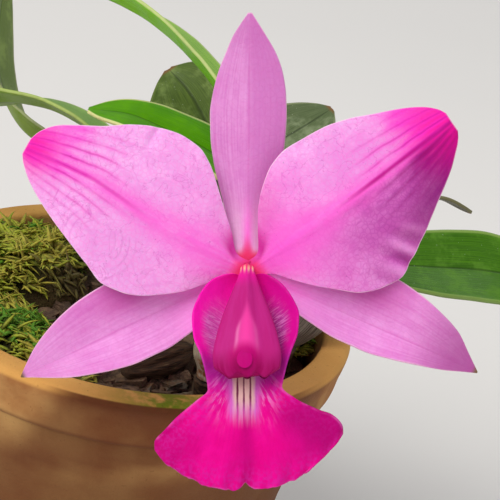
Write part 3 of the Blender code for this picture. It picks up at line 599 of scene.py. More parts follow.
def makeChipShapes(kinds, cuts):
    # rough blocks with broken corners, about one unit long
    made = []
    for number in range(kinds):
        bm = bmesh.new()
        bmesh.ops.create_cube(bm, size=1)
        bmesh.ops.subdivide_edges(bm, edges=bm.edges, cuts=cuts, use_grid_fill=True)
        for vertex in bm.verts:
            push = noise.noise_vector(vertex.co * 1.6 + Vector((number * 7.3, 1.1, 4.2)))
            split = noise.noise_vector(vertex.co * 4.1 + Vector((2.2, number * 3.7, 0.6)))
            vertex.co += push * 0.26 + split * 0.09
        mesh = bpy.data.meshes.new("chipShape")
        bm.to_mesh(mesh)
        bm.free()
        made.append(mesh)
    return made


def addCopy(bm, mesh, place, marks):
    # a copy of a small mesh at a place, with the same marks on all its vertices
    for name in marks:
        if not bm.verts.layers.float.get(name):
            bm.verts.layers.float.new(name)
    first = len(bm.verts)
    bm.from_mesh(mesh)
    bm.verts.ensure_lookup_table()
    fresh = bm.verts[first:]
    bmesh.ops.transform(bm, matrix=place, verts=fresh)
    layers = {name: bm.verts.layers.float[name] for name in marks}
    for vertex in fresh:
        for name, value in marks.items():
            vertex[layers[name]] = value


def turned(draw, tilt):
    # a turn by draws about all three axes, with a tilt of so many radians at most
    tilts = [Matrix.Rotation(draw.uniform(-tilt, tilt), 4, axis) for axis in "XY"]
    return tilts[0] @ tilts[1] @ Matrix.Rotation(draw.uniform(0, 6.3), 4, "Z")


def makeMixBed():
    bm = bmesh.new()
    profile = [(mixRadius * ring / mix["rings"], mix["top"]) for ring in range(mix["rings"] + 1)]
    profile += [(outerAt(mix["bottom"]) - pot["wallThick"] - touch, mix["bottom"]), (0, mix["bottom"])]
    bm.verts.layers.float.new("age")
    spun(bm, profile, mix["steps"])
    # a fresh copy, in which later vertices come after these
    plain = bpy.data.meshes.new("plainMix")
    bm.to_mesh(plain)
    bm.free()
    bm = bmesh.new()
    bm.from_mesh(plain)
    bpy.data.meshes.remove(plain)
    age = bm.verts.layers.float["age"]
    for vertex in bm.verts:
        vertex[age] = 0.2
        if vertex.co.z > mix["top"] - 0.0001:
            lumps = noise.noise(vertex.co * 170) + 0.6 * noise.noise(vertex.co * 420)
            vertex.co.z += min(0.0002, mix["dips"] * (lumps - 0.35))
    return bm


def isTaken(here, reach, placed):
    # whether a chip would touch the wall, moss, a stem or root, or another chip
    if here.length + reach > mixRadius or underMoss(*here):
        return True
    if any((here - other).length < mix["apart"] for other in placed):
        return True
    stems = [creeping["main"], *creeping["branches"]]
    return any(nearRoute(*here, route, reach + 0.0036) for route in stems) or any(
        nearRoute(*here, route, 0.6 * reach + 0.0014) for route in creeping["roots"]
    )


def makeMix():
    bm = makeMixBed()
    draw = random.Random(mix["seed"])
    noise.seed_set(mix["seed"])  # noise_vector starts from it, in place of the clock
    shapes, crumbs = makeChipShapes(7, 2), makeChipShapes(4, 1)
    placed = []

    def spot(radius):
        radius, angle = radius * math.sqrt(draw.random()), draw.uniform(0, 2 * math.pi)
        return Vector((radius * math.cos(angle), radius * math.sin(angle)))

    for _ in range(mix["tries"]):
        here = spot(mixRadius)
        size = [draw.uniform(*mix[item]) for item in ("length", "width", "thick")]
        if isTaken(here, 0.5 * size[0], placed):
            continue
        placed.append(here)
        place = Matrix.Translation((*here, mix["top"] + draw.uniform(*mix["lift"]))) @ turned(draw, 0.4)
        addCopy(bm, draw.choice(shapes), place @ Matrix.Diagonal((*size, 1)), {"age": draw.random()})
        if len(placed) == mix["chips"]:
            break
    for _ in range(mix["crumbs"]):
        here = (*spot(mixRadius - 0.001), mix["top"] + draw.uniform(-0.0002, 0.0006))
        size = draw.uniform(*mix["crumbSize"])
        place = Matrix.Translation(here) @ turned(draw, 1)
        place = place @ Matrix.Diagonal((size * 1.7, size, 0.6 * size, 1))
        addCopy(bm, draw.choice(crumbs), place, {"age": draw.random()})
    made = addPiece("barkMix", bm, [makeBark()], "bark_mix")
    made.data.set_sharp_from_angle(angle=math.radians(38))
    for shape in shapes + crumbs:
        bpy.data.meshes.remove(shape)


def makeMossSkins():
    bed = Skin("mossShade", roughness=0.95, specular=0.2)
    # the bed under the strands is painted dark, as painted shade in the gaps between them
    bedColour = layered(
        mossLooks, "gaps",
        ("shade", clouds(bed.here, 500, 3)),
        # painted shade in the hollow
        ("hollow", bed.mark("hollow")),
    )
    leaf = Skin("mossStrands", roughness=0.7, specular=0.35, subsurface=0.1)
    age = leaf.mark("age")
    leafColour = layered(
        mossLooks, "old",
        ("young", stepped(age, 0.3, 0.75)),
        ("fresh", stepped(age, 0.82, 0.95)),
        ("dry", stepped(age, 0.1, 0.02)),
        ("shade", stepped(leaf.mark("along"), 0.45, 0.0, 0, 0.7)),
        # painted shade on the strands in the hollow
        ("hollow", leaf.mark("hollow") * 0.85),
        ("shade", stepped(clouds(leaf.here, 1500, 2), 0.45, 0.7) * 0.35),
    )
    return [bed.done(bedColour, clouds(bed.here, 1100, 3), 0.9, 0.0015), leaf.done(leafColour)]


def makeTuftShapes(draw):
    # small bunches of curved strands that taper to a point, in metres
    made = []
    for _ in range(mossLooks["variants"]):
        bm = bmesh.new()
        bm.verts.layers.float.new("along")
        for _ in range(mossLooks["strands"]):
            length = draw.uniform(*mossLooks["length"])
            girth = draw.uniform(*mossLooks["girth"])
            angle = draw.uniform(0, 2 * math.pi)
            foot = Vector((draw.gauss(0, 1.3), draw.gauss(0, 1.3), -0.6))
            side = Vector((math.cos(angle), math.sin(angle), 0))
            climb, curl = draw.uniform(0.15, 0.9), draw.uniform(-0.6, 0.6)
            over = Vector((-side.y, side.x, 0))

            def place(s, around):
                radius = girth * (1.02 - s) ** 0.6 * (0.7 + 0.5 * math.sin(3 * s))
                out = side * length * s + over * length * curl * s * s
                middle = foot + out + Vector((0, 0, length * (climb * s - 0.55 * climb * s * s) + 0.5))
                rise = Vector((0, 0, 0.55 * radius * math.sin(around)))
                return (middle + over * radius * math.cos(around) + rise) * mm

            roundTube(bm, 5, 3, place, lambda s, around: {"along": s})
        mesh = bpy.data.meshes.new("tuftShape")
        bm.to_mesh(mesh)
        bm.free()
        made.append(mesh)
    return made


def makeMoss(name, moss, shapes, skins, draw):
    start, end = moss["span"]
    inner, outer = moss["ring"]
    middle = inner + (outer - inner) * 0.75
    base = mix["top"] + touch

    def place(s, t):
        angle = math.radians(start + (end - start) * s)
        offMiddle = abs(2 * s - 1) ** 3
        edge = inner + (outer - inner) * (t + 1) / 2
        radius = middle + (edge - middle) * (1 - 0.6 * offMiddle)
        x, y = radius * math.cos(angle), radius * math.sin(angle)
        fall = 0.85 if t < 0 else 0.1
        swell = (1 - offMiddle) * (1 - fall * abs(t) ** 3)
        lumps = noise.noise(Vector((x, y, 3.1)) * 0.32) * 1.5 + noise.noise(Vector((x, y, 9.7)) * 0.12) * 1.6
        height = mossLooks["edge"] + max(0.0, (moss["height"] + lumps) * swell)
        return Vector((x * mm, y * mm, base + height * mm))

    def bedPlace(s, t):
        here = place(s, t)
        inside = 1 - max(abs(t), abs(2 * s - 1)) ** 6
        return here + Vector((0, 0, (noise.noise(here * 900) - 0.9) * 0.0007 * inside))

    # the hollow on the inner slope of the back left cushion, from 0 to 1: fewer tufts grow there, and it is
    # painted dark as painted shade
    def hollowShadeAt(here):
        far = math.hypot(here.x, here.y) / mm + 5 * noise.noise(here * 70)
        return 1 - ease(*mossLooks["hollowShadeReach"], far) if moss["inner"] else 0.0

    bm = bmesh.new()
    bm.verts.layers.float.new("age")
    bm.verts.layers.float.new("along")
    bentGrid(bm, 60, 34, bedPlace, lambda s, t: {"hollow": hollowShadeAt(place(s, t))})
    lower = bmesh.ops.extrude_face_region(bm, geom=bm.faces[:])["geom"]
    for vertex in [item for item in lower if isinstance(item, bmesh.types.BMVert)]:
        vertex.co.z = base
    bmesh.ops.recalc_face_normals(bm, faces=bm.faces)
    bedFaces = len(bm.faces)
    for _ in range(moss["tufts"]):
        s, t = draw.uniform(0.03, 0.97), draw.uniform(-1, 1)
        while draw.random() > (inner + (outer - inner) * (t + 1) / 2) / outer:
            t = draw.uniform(-1, 1)
        foot = place(s, t * 0.97)
        hollow = hollowShadeAt(foot)
        if draw.random() < 0.92 * hollow:
            continue
        lean = (place(s, min(1, t + 0.05)) - place(s, max(-1, t - 0.05))).normalized()
        tilt = math.asin(max(-0.7, min(0.7, -lean.z))) + draw.uniform(-0.25, 0.25)
        turns = (math.atan2(foot.y, foot.x), "Z"), (tilt, "Y"), (draw.uniform(0, 6.3), "Z")
        turn = Matrix.Translation(foot)
        for angle, axis in turns:
            turn = turn @ Matrix.Rotation(angle, 4, axis)
        age = max(0, min(1, 0.5 + 0.9 * noise.noise(foot * 60) + draw.uniform(-0.3, 0.3)))
        size = Matrix.Scale(draw.uniform(0.75, 1.15), 4)
        addCopy(bm, draw.choice(shapes), turn @ size, {"age": age, "hollow": hollow})
    bm.faces.ensure_lookup_table()
    for face in bm.faces[bedFaces:]:
        face.material_index = 1
    addPiece(moss["piece"], bm, skins, name)


def makeMosses():
    draw = random.Random(21)
    shapes = makeTuftShapes(draw)
    skins = makeMossSkins()
    for name, moss in mosses.items():
        makeMoss(name, moss, shapes, skins, draw)
    for shape in shapes:
        bpy.data.meshes.remove(shape)


def makeCreepingSkin():
    skin = Skin("creepingStem", roughness=0.8, specular=0.3)
    streaks = clouds(stretched(skin.here, (1, 1, 2)), 650, 4)
    root = layered(creeping, "brown", ("rootSkin", stepped(clouds(skin.here, 900, 3), 0.35, 0.65)))
    colour = layered(
        creeping, "joint",
        ("brown", stepped(streaks, 0.35, 0.65)),
        ("scale", stepped(skin.mark("scale"), 0.25, 0.9, 0, 0.8)),
        (root, skin.mark("root")),
    )
    return skin.done(colour, streaks, 0.5, 0.0006)


def makeRhizome():
    bm = bmesh.new()

    def stem(route, lift):
        count = 2 * len(route)
        points = [(x * mm, y * mm, stemHeight - lift) for x, y in route]

        def ring(s):
            return (s * count * 0.7) % 1.0

        def girth(s):
            ends = min(1, 9 * s + 0.45, 9 * (1 - s) + 0.45)
            return creeping["radius"] * mm * (0.84 + 0.14 * ring(s) ** 0.7) * ends

        def marks(s, angle):
            return {"scale": ring(s), "root": 0.0}

        tubeAlong(bm, points, girth, 16 * count, 24, marks, wobble=0.12)

    for number, route in enumerate([creeping["main"], *creeping["branches"]]):
        stem(route, number * 0.00012)
    depth = seatTop - stemHeight + 0.001
    for x, y in [*(bulb["foot"] for bulb in bulbs), flowerStemFoot]:
        slim, scale = (0.75, 0.1) if (x, y) == flowerStemFoot else (1.0, 0.8)

        def seat(s, angle):
            radius = slim * (3.7 + 0.9 * s**1.4 + 0.12 * math.sin(9 * angle)) * mm
            flat = Vector((x * mm + radius * math.cos(angle), y * mm + radius * math.sin(angle)))
            return Vector((*flat, seatTop - depth * (1 - s)))

        roundTube(bm, 8, 30, seat, lambda s, angle: {"scale": scale * s, "root": 0.0})
    low = mix["top"] + touch + creeping["rootRadius"] * mm
    for route in creeping["roots"]:
        flat = smoothRoute(route)
        points = []
        for at in [row / 6 for row in range(7)]:
            lift = (stemHeight - low - 2 * touch) * max(0, 1 - 4 * at) ** 2
            points.append(Vector((*(flat(at) * mm), low + lift)))
        foot = points[-1]
        points += [foot + Vector((0, 0, -0.0016)), foot + Vector((0, 0, 0.001 - creeping["rootDepth"] * mm))]
        tubeAlong(
            bm, points, lambda s: creeping["rootRadius"] * mm * (1 - 0.25 * s), 70, 14,
            lambda s, angle: {"scale": 0.0, "root": 1.0}, wobble=0.18,
        )
    addPiece("creepingStem", bm, [makeCreepingSkin()], "rhizome")


# Bulbs, each with a foot, a top and its greatest radius

bulbs = [
    {"foot": (16, 18), "top": (28, 14, 124), "girth": 6.4, "papery": 0.5},
    {"foot": (-6, 15), "top": (-4, 12, 114), "girth": 6.2, "papery": 0.6},
    {"foot": (-14, 39), "top": (-20, 35, 104), "girth": 5.6, "papery": 0.4},
    {"foot": (28, 4), "top": (36, 1, 114), "girth": 6.6, "papery": 0.55},
    {"foot": (2, 33), "top": (14, 41, 116), "girth": 6.6, "papery": 0.5},
    {"foot": (42, -6), "top": (53, -2, 109), "girth": 6.2, "papery": 0.95},
    {"foot": (31, 26), "top": (42, 35, 112), "girth": 6.0, "papery": 0.4},
]
bulbLooks = {
    "rows": 60, "sides": 64, "ribs": 8, "footRadius": 3.3, "topRadius": 3.0,
    "outline": [(0, 0.0), (0.14, 0.55), (0.4, 1.0), (0.62, 0.95), (0.84, 0.45), (1, 0.0)],
    "green": (112, 122, 62), "groove": (66, 74, 34), "paper": (126, 116, 100), "paperShade": (58, 48, 40),
    "edge": (84, 60, 40),
}


def makeBulbSkin(name, papery):
    skin = Skin(name, roughness=0.5, specular=0.4)
    s, around = skin.sheet()
    fibres = grain(s * 4, around * 150, 3)
    torn = s + (grain(0.0, around * 9, 3) - 0.5) * 0.35
    dry = stepped(torn, papery + 0.02, papery - 0.02)
    colour = layered(
        bulbLooks, "groove",
        ("green", stepped(skin.mark("rib"), -0.8, 0.6)),
        (layered(bulbLooks, "paperShade", ("paper", stepped(fibres, 0.35, 0.65))), dry),
        ("edge", dry * stepped(torn, papery - 0.06, papery) * 0.6),
        ("edge", stepped(clouds(skin.here, 800, 2), 0.64, 0.72) * 0.4),
    )
    feed(skin.shader["Roughness"], stepped(dry, 0, 1, 0.42, 0.75))
    return skin.done(colour, fibres + dry, 0.5, 0.0005)


def makeBulb(number, bulb):
    start = inMm(*bulb["foot"], 0) + Vector((0, 0, seatTop + touch))
    lean = inMm(*bulb["top"]) - start
    footRadius, topRadius, ribs = bulbLooks["footRadius"], bulbLooks["topRadius"], bulbLooks["ribs"]

    def place(s, angle):
        ends = footRadius + (topRadius - footRadius) * s
        swell = smooth(bulbLooks["outline"], s)
        rib = 0.05 * swell * math.cos(ribs * angle)
        wrinkle = 0.012 * math.sin(3 * ribs * angle + 5 * s) * swell
        bumps = 0.02 * noise.noise(Vector((math.cos(angle) * 2, math.sin(angle) * 2, 6 * s + number)))
        radius = (ends + (bulb["girth"] - ends) * swell) * (1 + rib + wrinkle + bumps * swell)
        drift = s + 0.12 * math.sin(math.pi * s)
        middle = start + Vector((lean.x * drift, lean.y * drift, lean.z * s))
        return middle + inMm(radius * math.cos(angle), radius * math.sin(angle), 0)

    def marks(s, angle):
        return {"rib": math.cos(ribs * angle)}

    bm = bmesh.new()
    roundTube(bm, bulbLooks["rows"], bulbLooks["sides"], place, marks)
    skin = makeBulbSkin(f"bulbSkin{number}", bulb["papery"])
    addPiece(f"bulb{number}", bm, [skin], f"pseudobulb_{number}")


oldBulb = {
    "route": [(4, -33), (11, -24), (19, -14)], "ends": 1.6, "swell": 3.2, "ribs": 6,
    "brown": (82, 58, 38), "dark": (34, 24, 18), "straw": (128, 108, 80),
}


def makeOldBulb():
    route = smoothRoute(oldBulb["route"])
    lift = (oldBulb["ends"] + oldBulb["swell"]) * mm

    def place(s, angle):
        here = route(s) * mm
        ahead = heading(route, s, 0.02)
        wrinkle = 0.05 * math.sin(13 * angle + 4 * s) * math.sin(math.pi * s)
        rib = 1 + 0.08 * math.cos(oldBulb["ribs"] * angle) + wrinkle
        radius = (oldBulb["ends"] + oldBulb["swell"] * math.sin(math.pi * s) ** 0.7) * rib * mm
        side = Vector((-ahead.y, ahead.x)) * radius * math.cos(angle)
        rise = max(radius * math.sin(angle), touch - lift)
        return Vector((here.x + side.x, here.y + side.y, mix["top"] + touch + lift + rise))

    skin = Skin("oldBulbSkin", roughness=0.8, specular=0.3)
    s, around = skin.sheet()
    fibres = grain(s * 6, around * 70, 4)
    colour = layered(
        oldBulb, "dark", ("brown", stepped(fibres, 0.3, 0.6)), ("straw", stepped(fibres, 0.6, 0.75))
    )
    bm = bmesh.new()
    roundTube(bm, 50, 72, place)
    addPiece("oldBulb", bm, [skin.done(colour, fibres, 0.7, 0.0008)], "old_pseudobulb")


# Leaves: the bulb that carries each, its midrib from there, the way its upper face looks, and its colours

leafLooks = {
    "thick": 0.0009, "foot": 0.00045, "grid": (96, 36), "spots": (190, 198, 176), "scorch": (120, 84, 44),
    "outline": [
        (0, 0.14), (0.05, 0.15), (0.12, 0.3), (0.24, 0.66), (0.4, 0.93), (0.55, 1.0),
        (0.7, 0.93), (0.84, 0.7), (0.94, 0.4), (1, 0.08),
    ],
}
leaves = {
    "leaf_1": {
        "bulb": 0, "shift": (0, 0), "face": (0.6, 0.14, 0.78), "half": 12.5, "fold": 0.45,
        "midrib": [
            (0, 0, 5), (-3, -4, 13), (-12, -6, 22), (-22, 0, 29), (-33, 5, 35), (-43, 10, 38), (-53, 15, 39),
            (-66, 20, 38),
        ],
        # the under colour is brighter than the leaf's own green, as painted light on the shaded underside
        "upper": (146, 194, 56), "deep": (96, 150, 26), "under": (146, 226, 8), "rim": (196, 214, 130),
        "mottled": 0.25,
    },
    "leaf_2": {
        "bulb": 1, "shift": (0, 0), "face": (0.25, 0.22, 0.9), "half": 10.5, "fold": 0.4,
        "midrib": [
            (0, 0, 4), (-4, -1, 8.5), (-10, 0, 13), (-19, 4, 16), (-29, 9, 17), (-39, 12, 16), (-51, 17, 11),
            (-63, 22, 4),
        ],
        "upper": (124, 164, 66), "deep": (92, 130, 44), "under": (124, 164, 22), "rim": (172, 192, 100),
        "mottled": 0.35,
    },
    "leaf_3": {
        "bulb": 2, "shift": (0, 0), "face": (0.9, 0.1, 0.5), "half": 11.5, "fold": 0.35,
        "midrib": [
            (0, 0, 3.5), (-6, 4, 6), (-15, 10, 6.5), (-24, 16, 7.5), (-33, 24, 12.5), (-39, 31, 21),
            (-42, 38, 31),
            (-44, 46, 40), (-45, 52, 49),
        ],
        "upper": (120, 144, 62), "deep": (92, 116, 44), "under": (126, 156, 44), "rim": (150, 160, 104),
        "mottled": 0.5,
    },
    "leaf_4": {
        "bulb": 3, "shift": (0, 0), "face": (0.2, -0.1, 1), "half": 13.0, "fold": 0.25,
        "midrib": [
            (0, 0, 4), (-5, -2, 11), (-14, -4, 18), (-24, -4, 23), (-35, -4, 26), (-46, -4, 28),
            (-56, -4, 27),
        ],
        "upper": (92, 160, 0), "deep": (66, 132, 0), "under": (94, 146, 46), "rim": (226, 226, 150),
        "mottled": 0.2,
        "scorched": 0,
    },
    "leaf_5": {
        "bulb": 4, "shift": (0, 1.4), "face": (0.3, -0.9, 0.6), "half": 15.5, "fold": 0.25,
        "midrib": [(0, 0, 4), (-4, 2.6, 9.5), (-9, 6.5, 15), (-14.5, 10.5, 19.5), (-20.5, 14.5, 22.5)],
        "upper": (90, 112, 40), "deep": (64, 84, 30), "under": (84, 98, 54), "rim": (108, 124, 60),
        "mottled": 0.6,
    },
    "leaf_6": {
        "bulb": 4, "shift": (0.3, -1.5), "face": (-0.3, -0.7, 0.9), "half": 11.0, "fold": 0.35,
        "midrib": [
            (0, 0, 3), (3.5, -0.8, 5.5), (9, -0.6, 8.5), (15, 1.8, 12.5), (22, 6.4, 17.6), (29, 12, 23),
        ],
        "upper": (98, 112, 74), "deep": (68, 84, 50), "under": (88, 100, 66), "rim": (130, 140, 100),
        "mottled": 0.6,
    },
    "leaf_7": {
        "bulb": 5, "shift": (0, 0), "face": (-0.2, -0.75, 1), "half": 11.5, "fold": 0.4,
        "midrib": [(0, 0, 3.5), (4, 2, 5), (12, 4, 5.5), (24, 8, 6), (36, 13, 6), (51, 18, 5), (70, 24, 1)],
        "upper": (70, 122, 8), "deep": (46, 90, 0), "under": (118, 136, 92), "rim": (126, 156, 72),
        "mottled": 0.3,
    },
    "leaf_8": {
        "bulb": 6, "shift": (0, 0), "face": (-0.08, 0.3, 0.83), "half": 7.5, "fold": 0.2,
        "midrib": [(0, 0, 4), (5, 1, 6.5), (12, 2, 7), (21, 4, 7), (29, 8, 9.5), (38, 10, 9.5), (48, 11, 7)],
        "upper": (104, 104, 60), "deep": (78, 78, 44), "under": (92, 90, 60), "rim": (120, 116, 76),
        "mottled": 0.5,
    },
}


def makeLeafSkin(name, main, deep, mottled, shine, rim, scorched=1):
    skin = Skin(name, roughness=0.42, specular=0.17 if shine else 0.04, coat=shine)
    s, across = skin.sheet()
    offMiddle = abs(across - 0.5)
    fibres = grain(s * 5, across * 120, 3)
    blotches = patches(skin.here, 150, 0.45, 0.7)
    rib = stepped(offMiddle, 0.028, 0.006)
    colour = layered(
        leafLooks, deep,
        (main, stepped(fibres, 0.3, 0.7)),
        ([min(255, c + 46) for c in main], blotches * mottled),
        ([0.62 * c for c in deep], rib * 0.6),
        ("spots", stepped(clouds(skin.here, 1500, 1), 0.755, 0.79) * mottled),
        # a pale band along the margins: partly the leaf's own pale edge, partly a painted highlight along the
        # edge
        (rim, stepped(offMiddle, 0.45, 0.475) * 0.85),
        ("scorch", stepped(s, 0.965, 0.995, 0, scorched)),
    )
    feed(skin.shader["Roughness"], stepped(blotches, 0, 1, 0.34, 0.52))
    return skin.done(colour, fibres - rib, 0.3, 0.0004)


def makeRimSkin(name, colour):
    skin = Skin(name, roughness=0.5, specular=0.4)
    return skin.done(mixed(clouds(skin.here, 600, 2), tint(colour, 0.7), colour))


def makeLeaf(name):
    leaf = leaves[name]
    x, y, z = bulbs[leaf["bulb"]]["top"]
    foot = inMm(x + leaf["shift"][0], y + leaf["shift"][1], z) + Vector((0, 0, leafLooks["foot"]))
    route = smoothRoute([(0, 0, 0), *leaf["midrib"]])
    facing = Vector(leaf["face"]).normalized()
    number = int(name[-1])

    def place(s, t):
        ahead = heading(route, s)
        side = facing.cross(ahead).normalized()
        up = ahead.cross(side)
        unevenness = 1 + 0.02 * noise.noise(Vector((9 * s, 3.0 * (t > 0), number)))
        width = leaf["half"] * smooth(leafLooks["outline"], s) * unevenness
        crease = leaf["fold"] * min(1, 5 * s) * (1 - 0.35 * s)
        rise = width * (crease * abs(t) ** 1.25 - 0.12 * t * t)
        wave = 0.35 * noise.noise(Vector((7 * s, 1.3 * t, 4 + number))) * ease(0.1, 0.3, s) * t * t
        return foot + (route(s) + side * width * t + up * (rise + wave)) * mm

    bm = bmesh.new()
    bentGrid(bm, *leafLooks["grid"], place)
    upper, deep, under, rim, mottled = [leaf[key] for key in ("upper", "deep", "under", "rim", "mottled")]
    skins = [
        makeLeafSkin(name + "Upper", upper, deep, mottled, 0.06, rim, leaf.get("scorched", 1)),
        makeLeafSkin(name + "Under", under, [0.85 * c for c in under], 0.3 * mottled, 0.0, under),
        # the rim faces take the rim colour: partly the leaf's own pale edge, partly a painted highlight
        makeRimSkin(name + "Rim", rim),
    ]
    thicken(addPiece(f"leaf{number}", bm, skins, name), leafLooks["thick"], back=1, rim=2)


# Flowering stem and its bract

bloomPlaceMm = (28.7, -59.8, 132.9)
bloomLean, bloomRoll = 90 - 22.65, 12.4  # degrees about X and about the bloom's own axis
bloomTurn = Matrix.Rotation(math.radians(bloomLean), 3, "X")
bloomTurn = bloomTurn @ Matrix.Rotation(math.radians(bloomRoll), 3, "Z")

bloomAt = inMm(*bloomPlaceMm)
bloomFrame = Matrix.Translation(bloomAt) @ bloomTurn.to_4x4() @ Matrix.Scale(mm, 4)
flowerStem = {
    "route": [
        (25, -34, 89.1), (25, -34, 91), (23.6, -34.8, 96), (22.4, -37, 106), (23.2, -40, 116),
        (26, -44, 124.5),
    ],
    "radii": [(0, 1.7), (0.5, 1.35), (0.75, 1.5), (0.9, 2.1), (1, 2.7)],
    "ovary": 8.0, "ovaryDrop": 0.8, "ovaryLevel": -2.5,
    "green": (118, 128, 58), "purple": (126, 74, 84), "streak": (84, 96, 40),
}
bract = {
    "radius": 2.45, "swell": 0.8, "reach": 0.5, "straight": 0.35, "thick": 0.0006,
    "paper": (222, 214, 186), "shade": (168, 152, 120), "rust": (156, 92, 46),
}


def makeFlowerStem():
    toward = bloomTurn @ Vector((0, 0, 1))
    end = bloomAt + bloomTurn @ inMm(0, -flowerStem["ovaryDrop"], 0) + toward * flowerStem["ovaryLevel"] * mm
    start = end - toward * flowerStem["ovary"] * mm
    points = [inMm(*point) for point in flowerStem["route"]] + [start, end]
    points[0] = inMm(*flowerStemFoot, 0) + Vector((0, 0, seatTop + touch))

    skin = Skin("flowerStalk", roughness=0.45, specular=0.45)
    s, around = skin.sheet()
    fibres = grain(s * 9, around * 40, 3)
    colour = layered(
        flowerStem, "streak",
        ("green", stepped(fibres, 0.35, 0.65)),
        ("purple", stepped(s, 0.7, 0.98) * stepped(clouds(skin.here, 300, 2), 0.3, 0.65)),
    )

    def girth(s):
        return smooth(flowerStem["radii"], s) * mm

    bm = bmesh.new()
    tubeAlong(bm, points, girth, 120, 28, wobble=0.04)
    addPiece("flowerStem", bm, [skin.done(colour, fibres, 0.3, 0.0004)], "flower_stem")


def makeBract():
    route = smoothRoute(flowerStem["route"])
    straight = bract["straight"]

    def place(s, t):
        angle = 0.94 * math.pi * t
        share = s if s < straight else straight + (s - straight) * (1 - 0.45 * abs(t) ** 1.5)
        here = route(0.005 + bract["reach"] * share) * mm
        folds = 0.12 * math.sin(7 * angle + 3 * s) * s
        swell = bract["swell"] * math.sin(math.pi * min(1, 1.15 * s))
        radius = (bract["radius"] + swell - 0.2 * s + folds) * mm
        return here + Vector((radius * math.cos(angle), radius * math.sin(angle), 0.0001))

    skin = Skin("bractPaper", roughness=0.65, specular=0.35, subsurface=0.1)
    s, around = skin.sheet()
    fibres = grain(s * 5, around * 90, 3)
    colour = layered(
        bract, "shade",
        ("paper", stepped(fibres, 0.32, 0.68)),
        ("rust", patches(skin.here, 190, 0.5, 0.62) * stepped(s, 0.65, 0.3)),
    )
    bm = bmesh.new()
    bentGrid(bm, 60, 90, place)
    made = addPiece("flowerBract", bm, [skin.done(colour, fibres, 0.5, 0.0005)], "flower_bract")
    thicken(made, bract["thick"])


# Bloom: blades of the flower, each from its claw to its tip in the bloom's own plane

bladeThick = 0.00042
rowCrowd = 0.12
sepalLevel = -1.8
petalLevel = -0.7
petalRise = [(0, 0.0), (0.03, 0.05), (0.09, 1.1), (0.2, 2.4), (0.4, 3.5), (0.62, 4.0), (0.82, 3.6), (1, 2.4)]
sepalFall = [(0, 0.0), (0.04, 0.0), (0.3, -0.6), (0.6, -1.0), (0.85, -0.6), (1, 0.4)]
sepals = {
    "dorsalSepal": {
        "node": "dorsal_sepal", "base": (0, 0.6), "tip": (0.6, 57.0), "grid": (110, 44), "shadySide": -1,
        "outline": [
            (0, 2.4, 2.4), (0.05, 3.6, 3.6), (0.12, 4.4, 4.4), (0.21, 5.2, 5.2), (0.31, 6.6, 6.5),
            (0.4, 7.8, 7.6),
            (0.5, 8.6, 8.3), (0.6, 8.8, 8.6), (0.68, 8.2, 8.4), (0.76, 7.1, 7.7), (0.84, 5.4, 6.1),
            (0.91, 3.7, 3.8),
            (1, 0.4, 0.5),
        ],
    },
    "lateralSepalLeft": {
        "node": "lateral_sepal_left", "base": (-1.4, -1.8), "tip": (-51.1, -25.3), "grid": (110, 44),
        "shadySide": 0,
        "outline": [
            (0, 1.2, 1.2), (0.05, 2.2, 2.6), (0.12, 4.2, 5.0), (0.2, 5.9, 7.4), (0.3, 7.4, 9.4),
            (0.42, 8.4, 10.7),
            (0.53, 8.4, 10.8), (0.64, 7.6, 10.2), (0.73, 6.4, 9.0), (0.82, 4.9, 7.1), (0.9, 2.9, 4.7),
            (0.96, 1.2, 2.1),
            (1, 0.15, 0.2),
        ],
    },
    "lateralSepalRight": {
        "node": "lateral_sepal_right", "base": (1.7, -1.8), "tip": (52.0, -24.3), "grid": (110, 44),
        "shadySide": 0,
        "outline": [
            (0, 1.2, 1.2), (0.05, 2.6, 2.0), (0.12, 5.2, 3.2), (0.2, 7.8, 4.1), (0.3, 10.2, 5.2),
            (0.42, 11.7, 6.1),
            (0.54, 11.9, 6.1), (0.65, 11.0, 5.3), (0.75, 9.4, 4.2), (0.86, 6.8, 2.8), (0.94, 3.1, 1.3),
            (1, 0.2, 0.15),
        ],
    },
}
petals = {
    "petalLeft": {
        "node": "petal_left", "base": (-1.6, -0.5), "tip": (-50.2, 25.2), "grid": (130, 96), "upper": -1,
        "side": 1,
        "midvein": [(0, 0.0), (0.44, 0.6), (0.72, 2.1), (1, 1.1)], "shade": 0.0,
        "outline": [
            (0, 1.0, 1.0), (0.04, 2.4, 1.8), (0.1, 7.0, 6.0), (0.16, 10.7, 9.4), (0.24, 13.9, 13.9),
            (0.31, 16.2, 17.5),
            (0.38, 17.4, 19.6), (0.46, 17.7, 20.1), (0.56, 15.4, 19.2), (0.66, 12.9, 17.0),
            (0.76, 10.3, 13.7),
            (0.86, 7.3, 11.0), (0.93, 4.6, 8.9), (0.98, 1.9, 5.9), (1, 0.3, 3.3),
        ],
    },
    "petalRight": {
        "node": "petal_right", "base": (1.9, -0.5), "tip": (47.0, 30.4), "grid": (130, 96), "upper": 1,
        "side": -1,
        "midvein": [(0, 0.0), (0.5, 0.74), (1, 2.2)], "shade": 1.0,
        "outline": [
            (0, 1.0, 1.0), (0.04, 1.8, 2.4), (0.1, 6.8, 7.0), (0.15, 10.8, 10.4), (0.22, 14.4, 14.2),
            (0.3, 17.1, 18.1),
            (0.38, 18.1, 19.9), (0.46, 17.8, 20.5), (0.55, 17.3, 18.3), (0.65, 15.9, 15.2),
            (0.76, 13.3, 11.3),
            (0.86, 10.9, 7.8), (0.94, 8.3, 4.3), (0.985, 5.9, 1.8), (1, 4.4, 0.2),
        ],
    },
}
